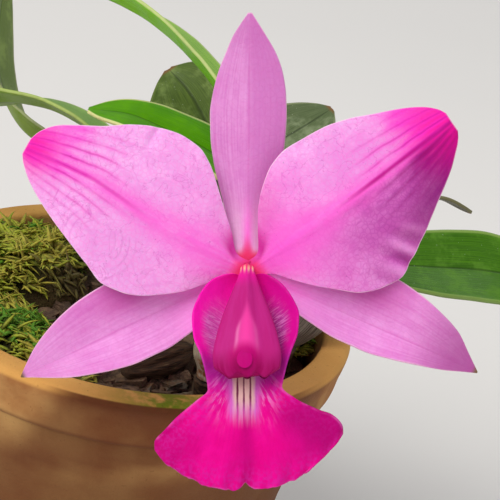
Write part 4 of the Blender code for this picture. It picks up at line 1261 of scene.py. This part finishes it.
petalLooks = {
    "body": (240, 168, 228), "deep": (228, 142, 214), "lilac": (246, 194, 240), "glow": (248, 94, 206),
    "flare": (242, 44, 202), "purple": (122, 6, 114), "tip": (244, 0, 150), "vein": (198, 10, 150),
    "veinDark": (160, 0, 112), "core": (236, 50, 116), "dusk": (190, 74, 170), "shaded": (140, 46, 120),
    "nook": (192, 0, 138), "rim": (255, 220, 232), "edgeDeep": (240, 150, 212), "edgePale": (248, 190, 226),
    "veins": 5.5, "veinWidth": 0.34, "veinGlow": 1.0,
}
sepalLooks = {
    "body": (238, 164, 226), "deep": (220, 126, 203), "claw": (236, 190, 216), "core": (226, 46, 104),
    "rim": (250, 214, 226),
    "dry": (112, 92, 58), "vein": (196, 76, 166), "lit": (255, 146, 232),
}


def bladeFrame(blade):
    base = Vector((*blade["base"], 0))
    axis = Vector((*blade["tip"], 0)) - base
    turn = Matrix.Rotation(math.atan2(axis.y, axis.x), 4, "Z")
    return bloomFrame @ Matrix.Translation(base) @ turn, axis.length


def bladeSpot(blade, s, t):
    # share of the length and reach across, in mm, of a spot on a blade
    share = s - rowCrowd * math.sin(2 * math.pi * s) / (2 * math.pi)
    return share, smooth(blade["outline"], share, 1 if t > 0 else 2) * t


def rimDistance(blade, length, share, t):
    reach = smooth(blade["outline"], share, 1 if t > 0 else 2)
    return min((1 - abs(t)) * reach, (1 - share) * length)


def petalFold(petal, share, a, across):
    # the crimped edge low on the right petal, -1 in its valleys and 1 on its crests
    away = petal["shade"] * hump(0.53, 0.1, share) * ease(-0.45, -0.95, a)
    x, y = 55 * share, petal["upper"] * across
    bend = 0.22 * noise.noise(Vector((x / 7, y / 7, 5.5)))
    return away * math.sin(2 * math.pi * ((0.84 * x + 0.54 * y) / 5.2 + bend))


def petalPlace(petal):
    toWorld, length = bladeFrame(petal)
    side, upper = petal["side"], petal["upper"]

    def place(s, t):
        share, across = bladeSpot(petal, s, t)
        away = math.sin(math.pi * share)
        back = 1.6 * (1 - share) ** 40
        wave = 0.55 * math.sin(9 * share + 2.2 * side * t + 0.6 * side) * t * t * away
        height = (
            petalLevel + smooth(petalRise, share) - 1.3 * t * t * away + 0.5 * abs(t) ** 0.8 * away + wave
        )
        a = upper * t
        ridge = -0.9 * abs(a) * away - 0.35 * away * ease(0, 0.12, abs(a))
        ripples = 0.16 * noise.noise(Vector((share * 30, a * 5, side))) * ease(0.45, 1.0, abs(t)) * away
        if upper > 0:
            ripples += 0.9 * petalFold(petal, share, a, across)
            ripples -= 1.5 * ease(0.1, 0.45, share) * ease(0, -1.0, a) * (1 - 0.5 * share)
        else:
            ripples -= 0.9 * hump(0.56, 0.016, share) * ease(0.55, 1.0, a)
            ripples += 0.35 * hump(0.66, 0.05, share) * ease(0.6, 1.0, a)
        return toWorld @ Vector((length * share - back, across * (1 + 0.8 * back), height + ridge + ripples))

    return place


def petalMarks(petal):
    length = bladeFrame(petal)[1]
    upper, shade = petal["upper"], petal["shade"]

    def marks(s, t):
        share, across = bladeSpot(petal, s, t)
        a = upper * t
        y = upper * across - smooth(petal["midvein"], share)
        half = 5.0 + 0.6 * smooth(petal["outline"], share, 1 if upper * y > 0 else 2)
        line = petalLooks["veins"] * y / half
        low = max(0, -a - 0.12)
        # painted shade: the flare reaches further on the right petal's shaded lower half
        under = shade * ease(0, -3, y)
        reach = share + 0.05 * a - (0.42 - 0.4 * shade) * low + 0.07 * under
        tipAway = math.hypot((1 - share) * length - 1.5, y - 1.0)
        fold = petalFold(petal, share, a, across)
        arc = math.hypot(length * share - 31.3, upper * across + 9.7)
        wideNookShade = (0.15 + 0.3 * shade) * ease(0.2, 0.8, a) * hump(0.15, 0.1, share)
        return {
            "veinLine": line,
            "veinGap": half / petalLooks["veins"],
            "veinShow": ease(0.5, 0.74, share) * hump(0, 3.4, line),
            "arc": arc,
            "arcShow": 0.7 * ease(3.0, 5.0, arc) * ease(11.5, 8.0, arc) * ease(0.0, -0.25, a),
            "midY": y,
            "midBand": hump(0, 1.6 + 4.5 * (1 - share) ** 1.6, y) * ease(1.0, 0.7, share),
            # painted light: the left petal, which faces the light, is made paler all over
            "pale": 0.28 * (1 - shade),
            "flare": (0.76 + 0.24 * shade) * ease(0.66 - 0.12 * under, 0.94 + 0.08 * under, reach),
            "tipSpot": hump(0, 5.5 + 3.5 * shade, tipAway),
            "middle": ease(0.36, 0.62, share) * (0.5 + 0.5 * shade),
            # painted shade: the lower half of the right petal, turned away from the light, is painted darker
            "below": shade * ease(1.6, -1.8, y) * (0.45 + 0.55 * ease(0.25, 0.55, share))
            * ease(0.08, 0.28, share),
            # painted shade on the outer part of the right petal's lower half
            "outer": shade * ease(0.15, 0.9, -a) * ease(0.42, 0.75, share),
            "glow": (0.45 + 0.55 * shade) * ease(0.48, 0.08, share) * (0.35 + 0.65 * hump(0, 0.7, a + 0.1)),
            # painted shade in the nook where the petals meet under the dorsal sepal's claw, and beside it on
            # the right petal
            "nook": max(ease(0.25, 0.6, a) * hump(0.07, 0.05, share), wideNookShade),
            "core": ease(0.055, 0.01, share) * (1 - 0.55 * ease(0.3, 0.75, a) * ease(0, 0.04, share)),
            # shade and light of the crimped edge, to be painted: valleys darker, crests lighter
            "valley": max(0, -fold),
            "crest": max(0, fold),
            "rimAway": rimDistance(petal, length, share, t),
        }

    return marks


def makePetalSkin():
    skin = Skin("petalSkin", roughness=0.6, specular=0.12, subsurface=0.35)
    here, mark, (s, _) = skin.here, skin.mark, skin.sheet()
    below, line = mark("below"), mark("veinLine")
    streaks = grain(s * 7, line * 1.7, 3)
    net, ripples = cells(here, 860), clouds(here, 420, 3, 1.2)
    margin = stepped(mark("rimAway"), 6.0, 0.5)

    # lines where old folds were: arcs on one spot, and threads all over
    arcs = veins(here, mark("arc"), 1.0, 1.5, 0.3, 1.2) * mark("arcShow")
    arcs = arcs * stepped(clouds(here, 250, 2), 0.4, 0.6)
    threads = stepped(abs(clouds(here, 210, 4, 0.6) - 0.5), 0.014, 0.003).calc("MAXIMUM", arcs)

    # the flare towards the tip, with a ragged front, and the veins in it
    # the flare is painted darker on the shaded lower half of the right petal
    hot = layered(petalLooks, "flare", ("purple", below))
    uneven = streaks * 0.75 + clouds(here, 260, 3) * 0.25
    ragged = mark("flare") + (uneven - 0.5) * 0.9
    shown = mark("veinShow"), stepped(clouds(here, 150, 2), 0.3, 0.6, 0.35)
    wide, thin = [
        veins(here, line, mark("veinGap"), 1.0, petalLooks[width], 0.45) * shown[0] * shown[1]
        for width in ("veinGlow", "veinWidth")
    ]
    midvein = stepped(abs(mark("midY")), 0.75, 0.1) * mark("middle") * stepped(streaks, 0.25, 0.45, 0.6)
    inked = (thin * 0.75).calc("MAXIMUM", midvein)
    # painted shade: darker veins on the shaded lower half of the right petal
    ink = layered(petalLooks, "vein", ("veinDark", below))

    edge = stepped(mark("rimAway"), 0.3, 0.08) * stepped(s, 0.1, 0.3)
    edge = edge * stepped(clouds(here, 130, 2), 0.35, 0.6, 0.3)
    colour = layered(
        petalLooks, "deep",
        ("body", patches(here, 90, 0.35, 0.68)),
        # painted light over the whole left petal, and the real paler margins
        ("lilac", mark("pale").calc("MAXIMUM", margin * 0.45)),
        ("glow", net * 0.2),
        ("deep", stepped(ripples, 0.52, 0.62) * 0.4),
        # fine fold lines, then painted shade over the right petal's lower half and its outer part, with
        # darker net and threads there
        ("dusk", threads * 0.3),
        ("dusk", below * stepped(clouds(here, 160, 3), 0.25, 0.6, 0.55) * 0.9),
        ("shaded", mark("outer") * 0.8),
        ("purple", net.calc("MAXIMUM", threads) * below * 0.16),
        ("glow", mark("glow") * stepped(clouds(here, 120, 2), 0.2, 0.6, 0.6) * 0.85),
        ("glow", mark("midBand") * stepped(streaks, 0.25, 0.6, 0.5) * 0.8),
        (hot, stepped(ragged, 0.2, 1.0) * stepped(below, 0, 1, 0.82, 1.0)),
        ("tip", mark("tipSpot") * 0.9),
        (hot, wide * 0.6),
        (ink, inked * 0.92),
        # painted shade in the valleys of the crimped edge and painted light on its crests
        ("shaded", mark("valley") * 0.55),
        ("body", mark("crest") * 0.6),
        ("purple", stepped(clouds(here, 1500, 1), 0.75, 0.79) * 0.3),
        ("core", mark("core")),
        # painted shade in the nook beside the dorsal sepal's claw
        ("nook", mark("nook") * 0.85),
        ("rim", edge * 0.55),
    )
    return skin.done(colour, net * 0.2 + (inked.calc("MAXIMUM", arcs) + ripples * -2.2), 0.2, -0.0004)


def makeRimPink():
    skin = Skin("petalRim", subsurface=0.1)
    s, _ = skin.sheet()
    return skin.done(layered(
        petalLooks, "edgeDeep",
        ("edgePale", clouds(skin.here, 300, 2)), ("glow", stepped(s, 0.3, 0.08)), ("core", skin.mark("core")),
    ))


def sepalPlace(sepal):
    toWorld, length = bladeFrame(sepal)
    dorsal = sepal["node"] == "dorsal_sepal"

    def place(s, t):
        share, across = bladeSpot(sepal, s, t)
        away = math.sin(math.pi * min(1, 1.05 * share))
        if dorsal:
            height = sepalLevel + smooth(sepalFall, share) - (0.9 * t * t + 1.1 * abs(t)) * away + 0.35
        else:
            valley = (2.6 * math.sqrt(t * t + 0.002) - 1.9) * away
            height = sepalLevel + 1.3 * smooth(sepalFall, share) + valley
        ripples = 0.1 * noise.noise(Vector((share * 18, t * 4, length))) * ease(0.3, 1.0, abs(t)) * away
        back = 1.5 * (1 - share) ** 40
        return toWorld @ Vector((length * share - back, across, height + ripples))

    return place


def sepalMarks(sepal):
    length = bladeFrame(sepal)[1]

    def marks(s, t):
        share, across = bladeSpot(sepal, s, t)
        reach = smooth(sepal["outline"], share, 1 if t > 0 else 2)
        lateral = 0.0 if sepal["shadySide"] else 1.0
        up = t if sepal["tip"][0] > 0 else -t
        return {
            "veinLine": t * 7,
            "veinGap": max(0.05, reach / 7),
            "shadeSide": ease(-0.15, 0.2, sepal["shadySide"] * t) if sepal["shadySide"] else 0.0,
            "claw": (1 - ease(0.1, 0.34, share)) * (0.3 + 0.7 * hump(0.5, 0.3, abs(t))),
            "core": 1 - ease(0.03, 0.06 + 0.07 * hump(0, 0.25, t), share),
            "blush": hump(0, 0.22, t) * (1 - ease(0.1, 0.3, share)),
            "rimAway": rimDistance(sepal, length, share, t),
            "tipNear": ease(0.972, 0.995, share),
            "tipShade": ease(0.62, 0.94, share) * (1.0 if sepal["tip"][0] > 10 else 0.15),
            # painted shadow that the petal casts on the upper half of each lateral sepal
            "underPetal": lateral * hump(0.47, 0.17, share) * ease(0.05, 0.6, up),
            "litRoot": lateral * (0.6 if sepal["tip"][0] > 0 else 1.0) * ease(0.42, 0.14, share),
            "crease": hump(0, 0.035, t) * ease(0.12, 0.3, share),
        }

    return marks


def makeSepalSkin(name, clawPale, dryTip, tone):
    skin = Skin(name, roughness=0.6, specular=0.16, subsurface=0.2)
    here, mark, (s, across) = skin.here, skin.mark, skin.sheet()
    streaks = grain(s * 4, across * 26, 3)
    deep, body = [[tone * c for c in sepalLooks[key]] for key in ("deep", "body")]
    lines = veins(here, mark("veinLine"), mark("veinGap"), 1.0, 0.2, 0.25) * stepped(streaks, 0.3, 0.6)
    net = cells(here, 700)
    edge = stepped(mark("rimAway"), 0.3, 0.08) * stepped(clouds(here, 130, 2), 0.35, 0.6, 0.3)
    colour = layered(
        sepalLooks, deep,
        (body, stepped(streaks, 0.3, 0.7) * 0.5 + patches(here, 120, 0.3, 0.7) * 0.5),
        (deep, mark("shadeSide") * 0.8),
        ("vein", lines * 0.12),
        ("vein", net * 0.08),
        ("vein", mark("crease") * 0.25),
        # painted shadow of the petal, laid on in the vein colour
        ("vein", mark("underPetal") * 0.82),
        ("lit", mark("litRoot")),
        ("claw", mark("claw") * clawPale),
        (petalLooks["glow"], mark("blush") * 0.7),
        ("core", mark("core")),
        ("rim", edge * 0.5),
        (petalLooks["shaded"], mark("tipShade") * 0.75),
        ("dry", mark("tipNear") * dryTip),
    )
    return skin.done(colour, streaks + net * 0.4, 0.2, -0.0004)


# Lip and column

lipRows = [
    (0.00, -1.0, -2.3, 1.0, -2.3, -2.5, -0.7, -0.7), (0.05, -3.5, -1.9, 3.2, -1.9, -4.0, -0.2, 1.8),
    (0.12, -7.2, -2.9, 6.3, -3.1, -6.6, 1.2, 4.6), (0.20, -10.5, -6.6, 9.4, -6.3, -10.5, 3.0, 6.6),
    (0.29, -12.0, -11.2, 11.3, -10.8, -14.5, 4.8, 8.6), (0.38, -11.6, -15.4, 11.0, -14.4, -18.0, 6.6, 10.2),
    (0.46, -9.9, -19.6, 9.4, -18.8, -21.6, 8.4, 11.6), (0.54, -8.9, -23.6, 8.2, -22.8, -25.0, 10.2, 12.4),
    (0.61, -8.5, -26.8, 7.6, -26.1, -28.2, 11.4, 12.6), (0.68, -11.2, -29.6, 10.4, -28.7, -32.0, 12.4, 12.2),
    (0.76, -15.3, -33.1, 15.3, -31.2, -36.4, 13.0, 11.4),
    (0.84, -18.3, -36.2, 18.8, -32.6, -40.4, 12.9, 10.4),
    (0.92, -20.2, -38.6, 20.8, -35.4, -44.9, 12.2, 9.4), (0.97, -20.2, -40.2, 20.9, -37.0, -47.5, 11.6, 8.9),
    (1.00, -18.8, -42.0, 19.4, -38.6, -48.9, 11.2, 8.8),
]
lip = {
    "grid": (130, 130), "fanStart": 0.55, "fanLength": 0.2, "ruffle": 0.55, "groove": 0.9, "crest": 0.5,
    "notch": 1.7,
    "throat": (-0.7, -19.0), "stripeMiddle": -0.69, "stripeStep": 1.39, "fanLines": 11,
    "hot": (222, 0, 132), "hotPale": (238, 14, 158), "margin": (250, 22, 176), "marginShaded": (212, 12, 146),
    "shade": (172, 0, 108), "lilac": (206, 96, 190), "fleck": (196, 48, 164), "vein": (190, 0, 120),
    "inside": (214, 76, 178), "insideShaded": (172, 46, 144), "wisp": (228, 138, 212), "outside": (178, 30, 148),
    "cream": (220, 172, 170), "stripe": (112, 36, 74), "streak": (240, 156, 226), "rim": (232, 110, 196),
}
columnRows = [
    (0.00, -1.0, 0.0, 1.5, 1.4), (0.08, -1.1, 1.6, 1.5, 1.4), (0.22, -3.1, 4.4, 2.2, 1.8),
    (0.38, -7.0, 7.0, 3.8, 2.3), (0.56, -11.4, 9.9, 5.5, 2.6), (0.72, -15.4, 12.2, 6.7, 2.7),
    (0.87, -19.4, 14.0, 7.4, 2.5), (0.96, -22.2, 15.0, 7.1, 2.0), (1.00, -23.6, 15.4, 5.6, 1.2),
]
column = {
    "grid": (70, 80), "ridge": [(0, 0.0), (0.3, 0.2), (0.9, 0.14), (1, 0.0)], "hollow": 0.2,
    "capAt": 0.915, "capHalf": (1.7, 2.0, 0.26), "capLift": -0.06, "capBelly": 0.12, "capAside": -0.5,
    "body": (186, 36, 126), "ridgeColour": (226, 64, 156), "nub": (250, 190, 160), "neck": (228, 20, 150),
    "glow": (238, 60, 158), "wing": (178, 24, 112), "light": (238, 140, 196), "cap": (188, 0, 112),
    "end": (148, 0, 82),
}


def lipSpot(s, t):
    row = [smooth(lipRows, s, item) for item in range(1, 8)]
    leftU, leftV, rightU, rightV, middleV, middleW, edgeW = row
    sideU, sideV = (leftU, leftV) if t < 0 else (rightU, rightV)
    fan = max(0, min(1, (s - lip["fanStart"]) / lip["fanLength"]))
    v = middleV + (sideV - middleV) * abs(t) ** (1.7 + 0.9 * fan)
    w = middleW + (edgeW - middleW) * abs(t) ** (2.4 - 0.4 * fan)
    ruffle = lip["ruffle"] * fan * math.sin(11 * t + 5 * s) * max(abs(t), s) ** 3
    crest = lip["crest"] * s * (1 - fan) * math.exp(-((5 * t) ** 2))
    groove = lip["groove"] * fan * (s - 0.6) * math.exp(-((6 * t) ** 2))
    notch = lip["notch"] * s**12 * math.exp(-((20 * (t + 0.02)) ** 2)) + 0.3 * s**12 * ease(-0.1, 0.2, t)
    edge = max(abs(t) ** 7, s**14) * fan
    frill = 0.42 * edge * math.sin(31 * t + 17 * s) + 0.25 * fan * noise.noise(Vector((6 * t, 9 * s, 2.2)))
    pucker = 0.1 * noise.noise(Vector((14 * t, 22 * s, 7.7))) * ease(0.3, 0.6, s)
    teeth = 0.35 * s**16 * noise.noise(Vector((17 * t, 3.3, 0.4)))
    return sideU * abs(t), v + notch + teeth, w + ruffle + crest - groove + frill + pucker


def lipMarks(s, t):
    u, v, _ = lipSpot(s, t)
    beside = abs(lipSpot(s, 1 if t > 0 else -1)[0])
    du, dv = u - lip["throat"][0], v - lip["throat"][1]
    stripe = (u - lip["stripeMiddle"]) / lip["stripeStep"]
    rightCorner = ease(0.4, 0.78, t + 0.5 * (0.8 - s)) * ease(0.64, 0.74, s) * ease(1.0, 0.9, s)
    leftCorner = 0.7 * ease(0.4, 0.95, -t) * ease(0.7, 0.85, s)
    return {
        "lobe": ease(0.52, 0.66, s),
        "topLobe": ease(0.3, 0.14, s),
        # painted shade: the right side lobe, away from the light, is painted darker
        "farLobe": ease(-0.3, 0.3, t),
        "fanLine": math.atan2(du, -dv) * lip["fanLines"],
        "fanGap": max(0.05, math.hypot(du, dv) / lip["fanLines"]),
        "flank": hump(4.9, 2.3, abs(u + 0.7)) * hump(0.62, 0.075, s),
        "waist": ease(0.4, 0.5, s),
        "stripe": stripe,
        "disc": ease(3.1, 1.7, abs(stripe)) * ease(0.4, 0.47, s),
        "discEnd": ease(0.79, 0.57, s),
        "midline": hump(0, 0.09, t) * ease(0.62, 0.72, s),
        "corner": rightCorner + leftCorner,
        "rimAway": min((1 - abs(t)) * max(beside, 6), (1 - s) * 50),
        "alongLobe": s * 60 + 3 * abs(t),
    }


def makeLipSkin():
    skin = Skin("lipSkin", roughness=0.6, specular=0.05, subsurface=0.06)
    here, mark = skin.here, skin.mark
    lobe, rimAway, corner = mark("lobe"), mark("rimAway"), mark("corner")

    # the fan's upper face
    fans = veins(here, mark("fanLine"), mark("fanGap"), 0.5, 0.3, 0.5)
    fans = fans * stepped(clouds(here, 300, 2), 0.3, 0.7)
    flecks = stepped(clouds(here, 1300, 3), 0.44, 0.6) * stepped(rimAway, 8.0, 0.5)
    front = layered(
        lip, "hot",
        ("hotPale", patches(here, 110, 0.4, 0.66) * 0.35),
        ("vein", fans * 0.09),
        ("shade", corner * 0.85),
        ("shade", mark("midline") * 0.5),
        ("fleck", flecks * stepped(corner, 0.5, 0.9, 1.0, 0.3) * 0.36),
    )

    # the inner faces of the side lobes, with their margins
    lines = veins(here, mark("alongLobe"), 0.6, 1.0, 0.24, 1.2) * stepped(clouds(here, 350, 2), 0.35, 0.6)
    wisps = grain(mark("alongLobe") * 2.3, rimAway * 0.4, 2, 0.7)
    ragged = rimAway + (clouds(here, 500, 2) - 0.5) * 1.6
    # the margin and the inner face are painted darker on the shaded right lobe, as painted shade
    margin = layered(lip, "margin", ("marginShaded", mark("farLobe")))
    side = layered(
        lip, "inside",
        ("insideShaded", mark("farLobe")),
        ("outside", lines * 0.3),
        ("wisp", stepped(wisps, 0.45, 0.64) * 0.6),
        (margin, stepped(ragged, 3.6, 1.0)),
        (margin, mark("topLobe")),
        ("outside", mark("waist")),
    )

    # both, the rays beside the waist, and the striped disc in its middle
    rays = stepped(grain(mark("fanLine") * 1.5, mark("fanGap") * 3.0, 3), 0.46, 0.62) * mark("flank")
    colour = layered(lip, side, (front, lobe), ("streak", rays * 0.48))
    stripe, discEnd = mark("stripe"), mark("discEnd")
    wobble = (clouds(here, 700, 2) - 0.5) * 0.16
    frayed = discEnd * (grain(stripe * 3, discEnd, 2) * 1.5 + 0.25)
    disc = layered(
        lip, "stripe",
        ("cream", stepped(stripe.calc("PINGPONG", 0.5) + wobble, 0.03, 0.24)),
        ("lilac", stepped(abs(stripe) + wobble * 4, 1.3, 2.1)),
        ("lilac", stepped(discEnd, 0.9, 0.5) * 0.6),
        (colour, stepped(frayed, 0.7, 0.1)),
    )
    edge = stepped(rimAway, 0.5, 0.1) * stepped(clouds(here, 260, 2), 0.4, 0.6)
    edge = edge * stepped(lobe, 0, 1, 0.1, 0.5)
    colour = layered(lip, colour, (disc, mark("disc")), ("rim", edge))
    return skin.done(colour, fans * lobe * 0.15 + clouds(here, 500, 3), 0.35, 0.0006)


def makeLipBack():
    skin = Skin("lipBack", roughness=0.6, specular=0.15, subsurface=0.06)
    edge = stepped(skin.mark("rimAway"), 2.2, 0.8)
    return skin.done(layered(lip, "outside", ("lilac", clouds(skin.here, 260, 2)), ("margin", edge)))


def columnAxis(s):
    if s < 0.01:
        return Vector((0, 1))
    after, before = min(1, s + 0.01), max(0, s - 0.01)
    return Vector([smooth(columnRows, after, i) - smooth(columnRows, before, i) for i in (1, 2)]).normalized()


def columnSpot(s, angle):
    v, w, half, thick = [smooth(columnRows, s, i) for i in (1, 2, 3, 4)]
    ahead = columnAxis(s)
    across, up = math.cos(angle), math.sin(angle)
    ridge = 1 + max(0, up) * smooth(column["ridge"], s) * math.exp(-((2.4 * across) ** 2))
    wings = 1 - column["hollow"] * max(0, up) * math.sin(math.pi * across) ** 2
    out = thick * up * wings * ridge
    scallop = 0.55 * ease(0.93, 1.0, s) * math.cos(9.5 * across)
    return half * across, v + ahead.y * out + ahead.x * scallop, w - ahead.x * out + ahead.y * scallop


def makeColumnSkin():
    skin = Skin("columnSkin", roughness=0.6, specular=0.08, subsurface=0.06)
    here, (s, around) = skin.here, skin.sheet()
    streaks = grain(s * 3, around * 24, 2)
    offRidge = abs(around - 0.25) * 4
    wander = (clouds(here, 140, 1) - 0.5) * 0.1
    ridge = stepped(offRidge + wander - stepped(s, 0.36, 0.74, -0.08, 0.2), 0.09, -0.09)
    ridgeEdge = stepped(ridge, 0.0, 0.5) * stepped(ridge, 1.0, 0.5)
    toCap = joined((around - 0.262) * 9, (s - 0.92) * 6.5)
    capAway = put(skin.tree, "VectorMath", {0: toCap}, "Value", operation="LENGTH")
    colour = layered(
        column, "wing",
        ("body", stepped(streaks, 0.3, 0.62, 0.45)),
        ("wing", stepped(offRidge, 0.62, 0.95) * 0.6),
        ("ridgeColour", ridge * 0.75),
        # painted highlight: pale lines along the edges of the ridge
        ("light", ridgeEdge * stepped(s, 0.6, 0.72) * stepped(around, 0.2, 0.3, 0.25) * 0.45),
        ("glow", ridge * stepped(s, 0.45, 0.7) * stepped(offRidge, 0.2, 0.0) * 0.7),
        ("cap", stepped(capAway, 1.0, 0.45)),
        ("end", stepped(s, 0.82, 0.97) * stepped(streaks, 0.3, 0.6, 0.55)),
        ("neck", stepped(s, 0.34, 0.2) * 0.8),
        (petalLooks["core"], skin.mark("collar")),
        ("nub", skin.mark("beads")),
    )
    return skin.done(colour, clouds(here, 700, 2), 0.15, 0.0004)


def makeColumn():
    def marks(s, angle):
        u, v, _ = columnSpot(s, angle)
        neck = ease(0.3, 0.22, s)
        dots = ease(-0.6, 0.5, math.cos(2 * math.pi * (u + 0.1) / 0.92 + math.pi))
        beads = neck * hump(-0.62, 0.5, v) ** 0.6 * dots * ease(1.9, 1.6, abs(u + 0.1))
        return {"collar": neck * ease(-1.0, -0.5, v), "beads": beads}

    bm = bmesh.new()
    roundTube(bm, *column["grid"], lambda s, angle: bloomFrame @ Vector(columnSpot(s, angle)), marks)
    addPiece("flowerColumn", bm, [makeColumnSkin()], "column")


def makeCap():
    v, w, _, thick = [smooth(columnRows, column["capAt"], i) for i in (1, 2, 3, 4)]
    ahead = columnAxis(column["capAt"])
    up = Vector((0, ahead.y, -ahead.x))
    along = Vector((0, ahead.x, ahead.y))
    seat = Vector((column["capAside"], v, w)) + up * (1.16 * thick + column["capLift"])
    half = column["capHalf"]
    bm = bmesh.new()
    bmesh.ops.create_uvsphere(bm, u_segments=40, v_segments=24, radius=1)
    for vertex in bm.verts:
        x, y, z = vertex.co
        dent = 1 - 0.12 * math.exp(-((5 * x) ** 2)) * max(0, z)
        rise = (max(z, 0) * half[2] + min(z, 0) * column["capBelly"]) * dent
        vertex.co = bloomFrame @ (seat + Vector((-x * half[0], 0, 0)) + along * y * half[1] + up * rise)
    bmesh.ops.recalc_face_normals(bm, faces=bm.faces)
    skin = Skin("capSkin", roughness=0.6, specular=0.02, subsurface=0.06)
    colour = layered(column, "wing", ("cap", clouds(skin.here, 500, 2)))
    addPiece("antherCap", bm, [skin.done(colour)], "anther_cap")


def makeBloom():
    rimPink = makeRimPink()
    petalSkin = makePetalSkin()
    dorsalSkin = makeSepalSkin("dorsalSkin", 0.42, 0.0, 0.94)
    lateralSkin = makeSepalSkin("lateralSkin", 0.0, 1.0, 1.0)
    blades = [(name, petal, petalSkin, petalPlace, petalMarks) for name, petal in petals.items()]
    for name, sepal in sepals.items():
        skin = dorsalSkin if name == "dorsalSepal" else lateralSkin
        blades.append((name, sepal, skin, sepalPlace, sepalMarks))
    for name, blade, skin, place, marks in blades:
        bm = bmesh.new()
        bentGrid(bm, *blade["grid"], place(blade), marks(blade))
        thicken(addPiece(name, bm, [skin, rimPink], blade["node"]), bladeThick, rim=1)
    bm = bmesh.new()
    bentGrid(bm, *lip["grid"], lambda s, t: bloomFrame @ Vector(lipSpot(s, t)), lipMarks)
    thicken(addPiece("flowerLip", bm, [makeLipSkin(), makeLipBack()], "lip"), bladeThick, back=1)
    makeColumn()
    makeCap()


# Stage, light and camera

stage = {
    "size": 8.0, "floor": (232, 230, 226), "sky": (246, 246, 250), "skyStrength": 0.42,
    "lampsAim": (20, -20, 110),
}
lamps = {
    "keyLight": {"at": (-1.17, -1.08, 1.89), "size": 1.85, "watts": 48.0, "colour": (1.0, 0.98, 0.95)},
    "fillLight": {"at": (1.5, -1.5, 1.05), "size": 1.76, "watts": 11.0, "colour": (0.96, 0.98, 1.0)},
    "backLight": {"at": (0.44, 1.76, 1.98), "size": 1.5, "watts": 10.0, "colour": (1.0, 1.0, 1.0)},
}
photoCamera = {
    "at": (0.02859, -0.36301, 0.26312), "right": (0.9767, 0.0827, 0.1983), "up": (-0.2148, 0.3760, 0.9014),
    "lens": 105.55, "sensor": 36.0,
}


def makeStage():
    bm = bmesh.new()
    bmesh.ops.create_grid(bm, x_segments=1, y_segments=1, size=stage["size"] / 2)
    skin = Skin("floorPaint", roughness=0.8, specular=0.2)
    colour = layered(stage, tint(stage["floor"], 0.94), ("floor", clouds(skin.here, 3, 2)))
    addObject("floor", bm, [skin.done(colour)])
    world = bpy.data.worlds.new("studio")
    world.use_nodes = True
    sky = world.node_tree.nodes["Background"].inputs
    sky["Color"].default_value = tint(stage["sky"])
    sky["Strength"].default_value = stage["skyStrength"]
    bpy.context.scene.world = world
    for name, lamp in lamps.items():
        light = bpy.data.lights.new(name, "AREA")
        light.size, light.energy, light.color = lamp["size"], lamp["watts"], lamp["colour"]
        obj = bpy.data.objects.new(name, light)
        obj.location = lamp["at"]
        aim = inMm(*stage["lampsAim"]) - Vector(lamp["at"])
        obj.rotation_euler = aim.to_track_quat("-Z", "Y").to_euler()
        bpy.context.scene.collection.objects.link(obj)


def makeCamera():
    data = bpy.data.cameras.new("photoCamera")
    data.sensor_width = photoCamera["sensor"]
    data.lens = photoCamera["lens"]
    data.clip_start = 0.01
    obj = bpy.data.objects.new("photoCamera", data)
    right, up = Vector(photoCamera["right"]).normalized(), Vector(photoCamera["up"])
    back = right.cross(up).normalized()
    up = back.cross(right)
    turn = Matrix((right, up, back)).transposed()
    obj.matrix_world = Matrix.Translation(photoCamera["at"]) @ turn.to_4x4()
    bpy.context.scene.collection.objects.link(obj)
    bpy.context.scene.camera = obj
    bpy.context.scene.view_settings.view_transform = "Standard"


makeCamera()
makeStage()
print("stage and camera ready")
makePot()
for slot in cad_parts["drainage_crocks"].material_slots:
    slot.material = makeClay("brokenClay", 0.2)
makeMix()
print("pot and bark ready")
makeMosses()
print("moss ready")
makeRhizome()
for number, bulb in enumerate(bulbs, 1):
    makeBulb(number, bulb)
makeOldBulb()
print("creeping stem and bulbs ready")
for name in leaves:
    makeLeaf(name)
makeFlowerStem()
makeBract()
print("leaves and flower stem ready")
makeBloom()
print("bloom ready")
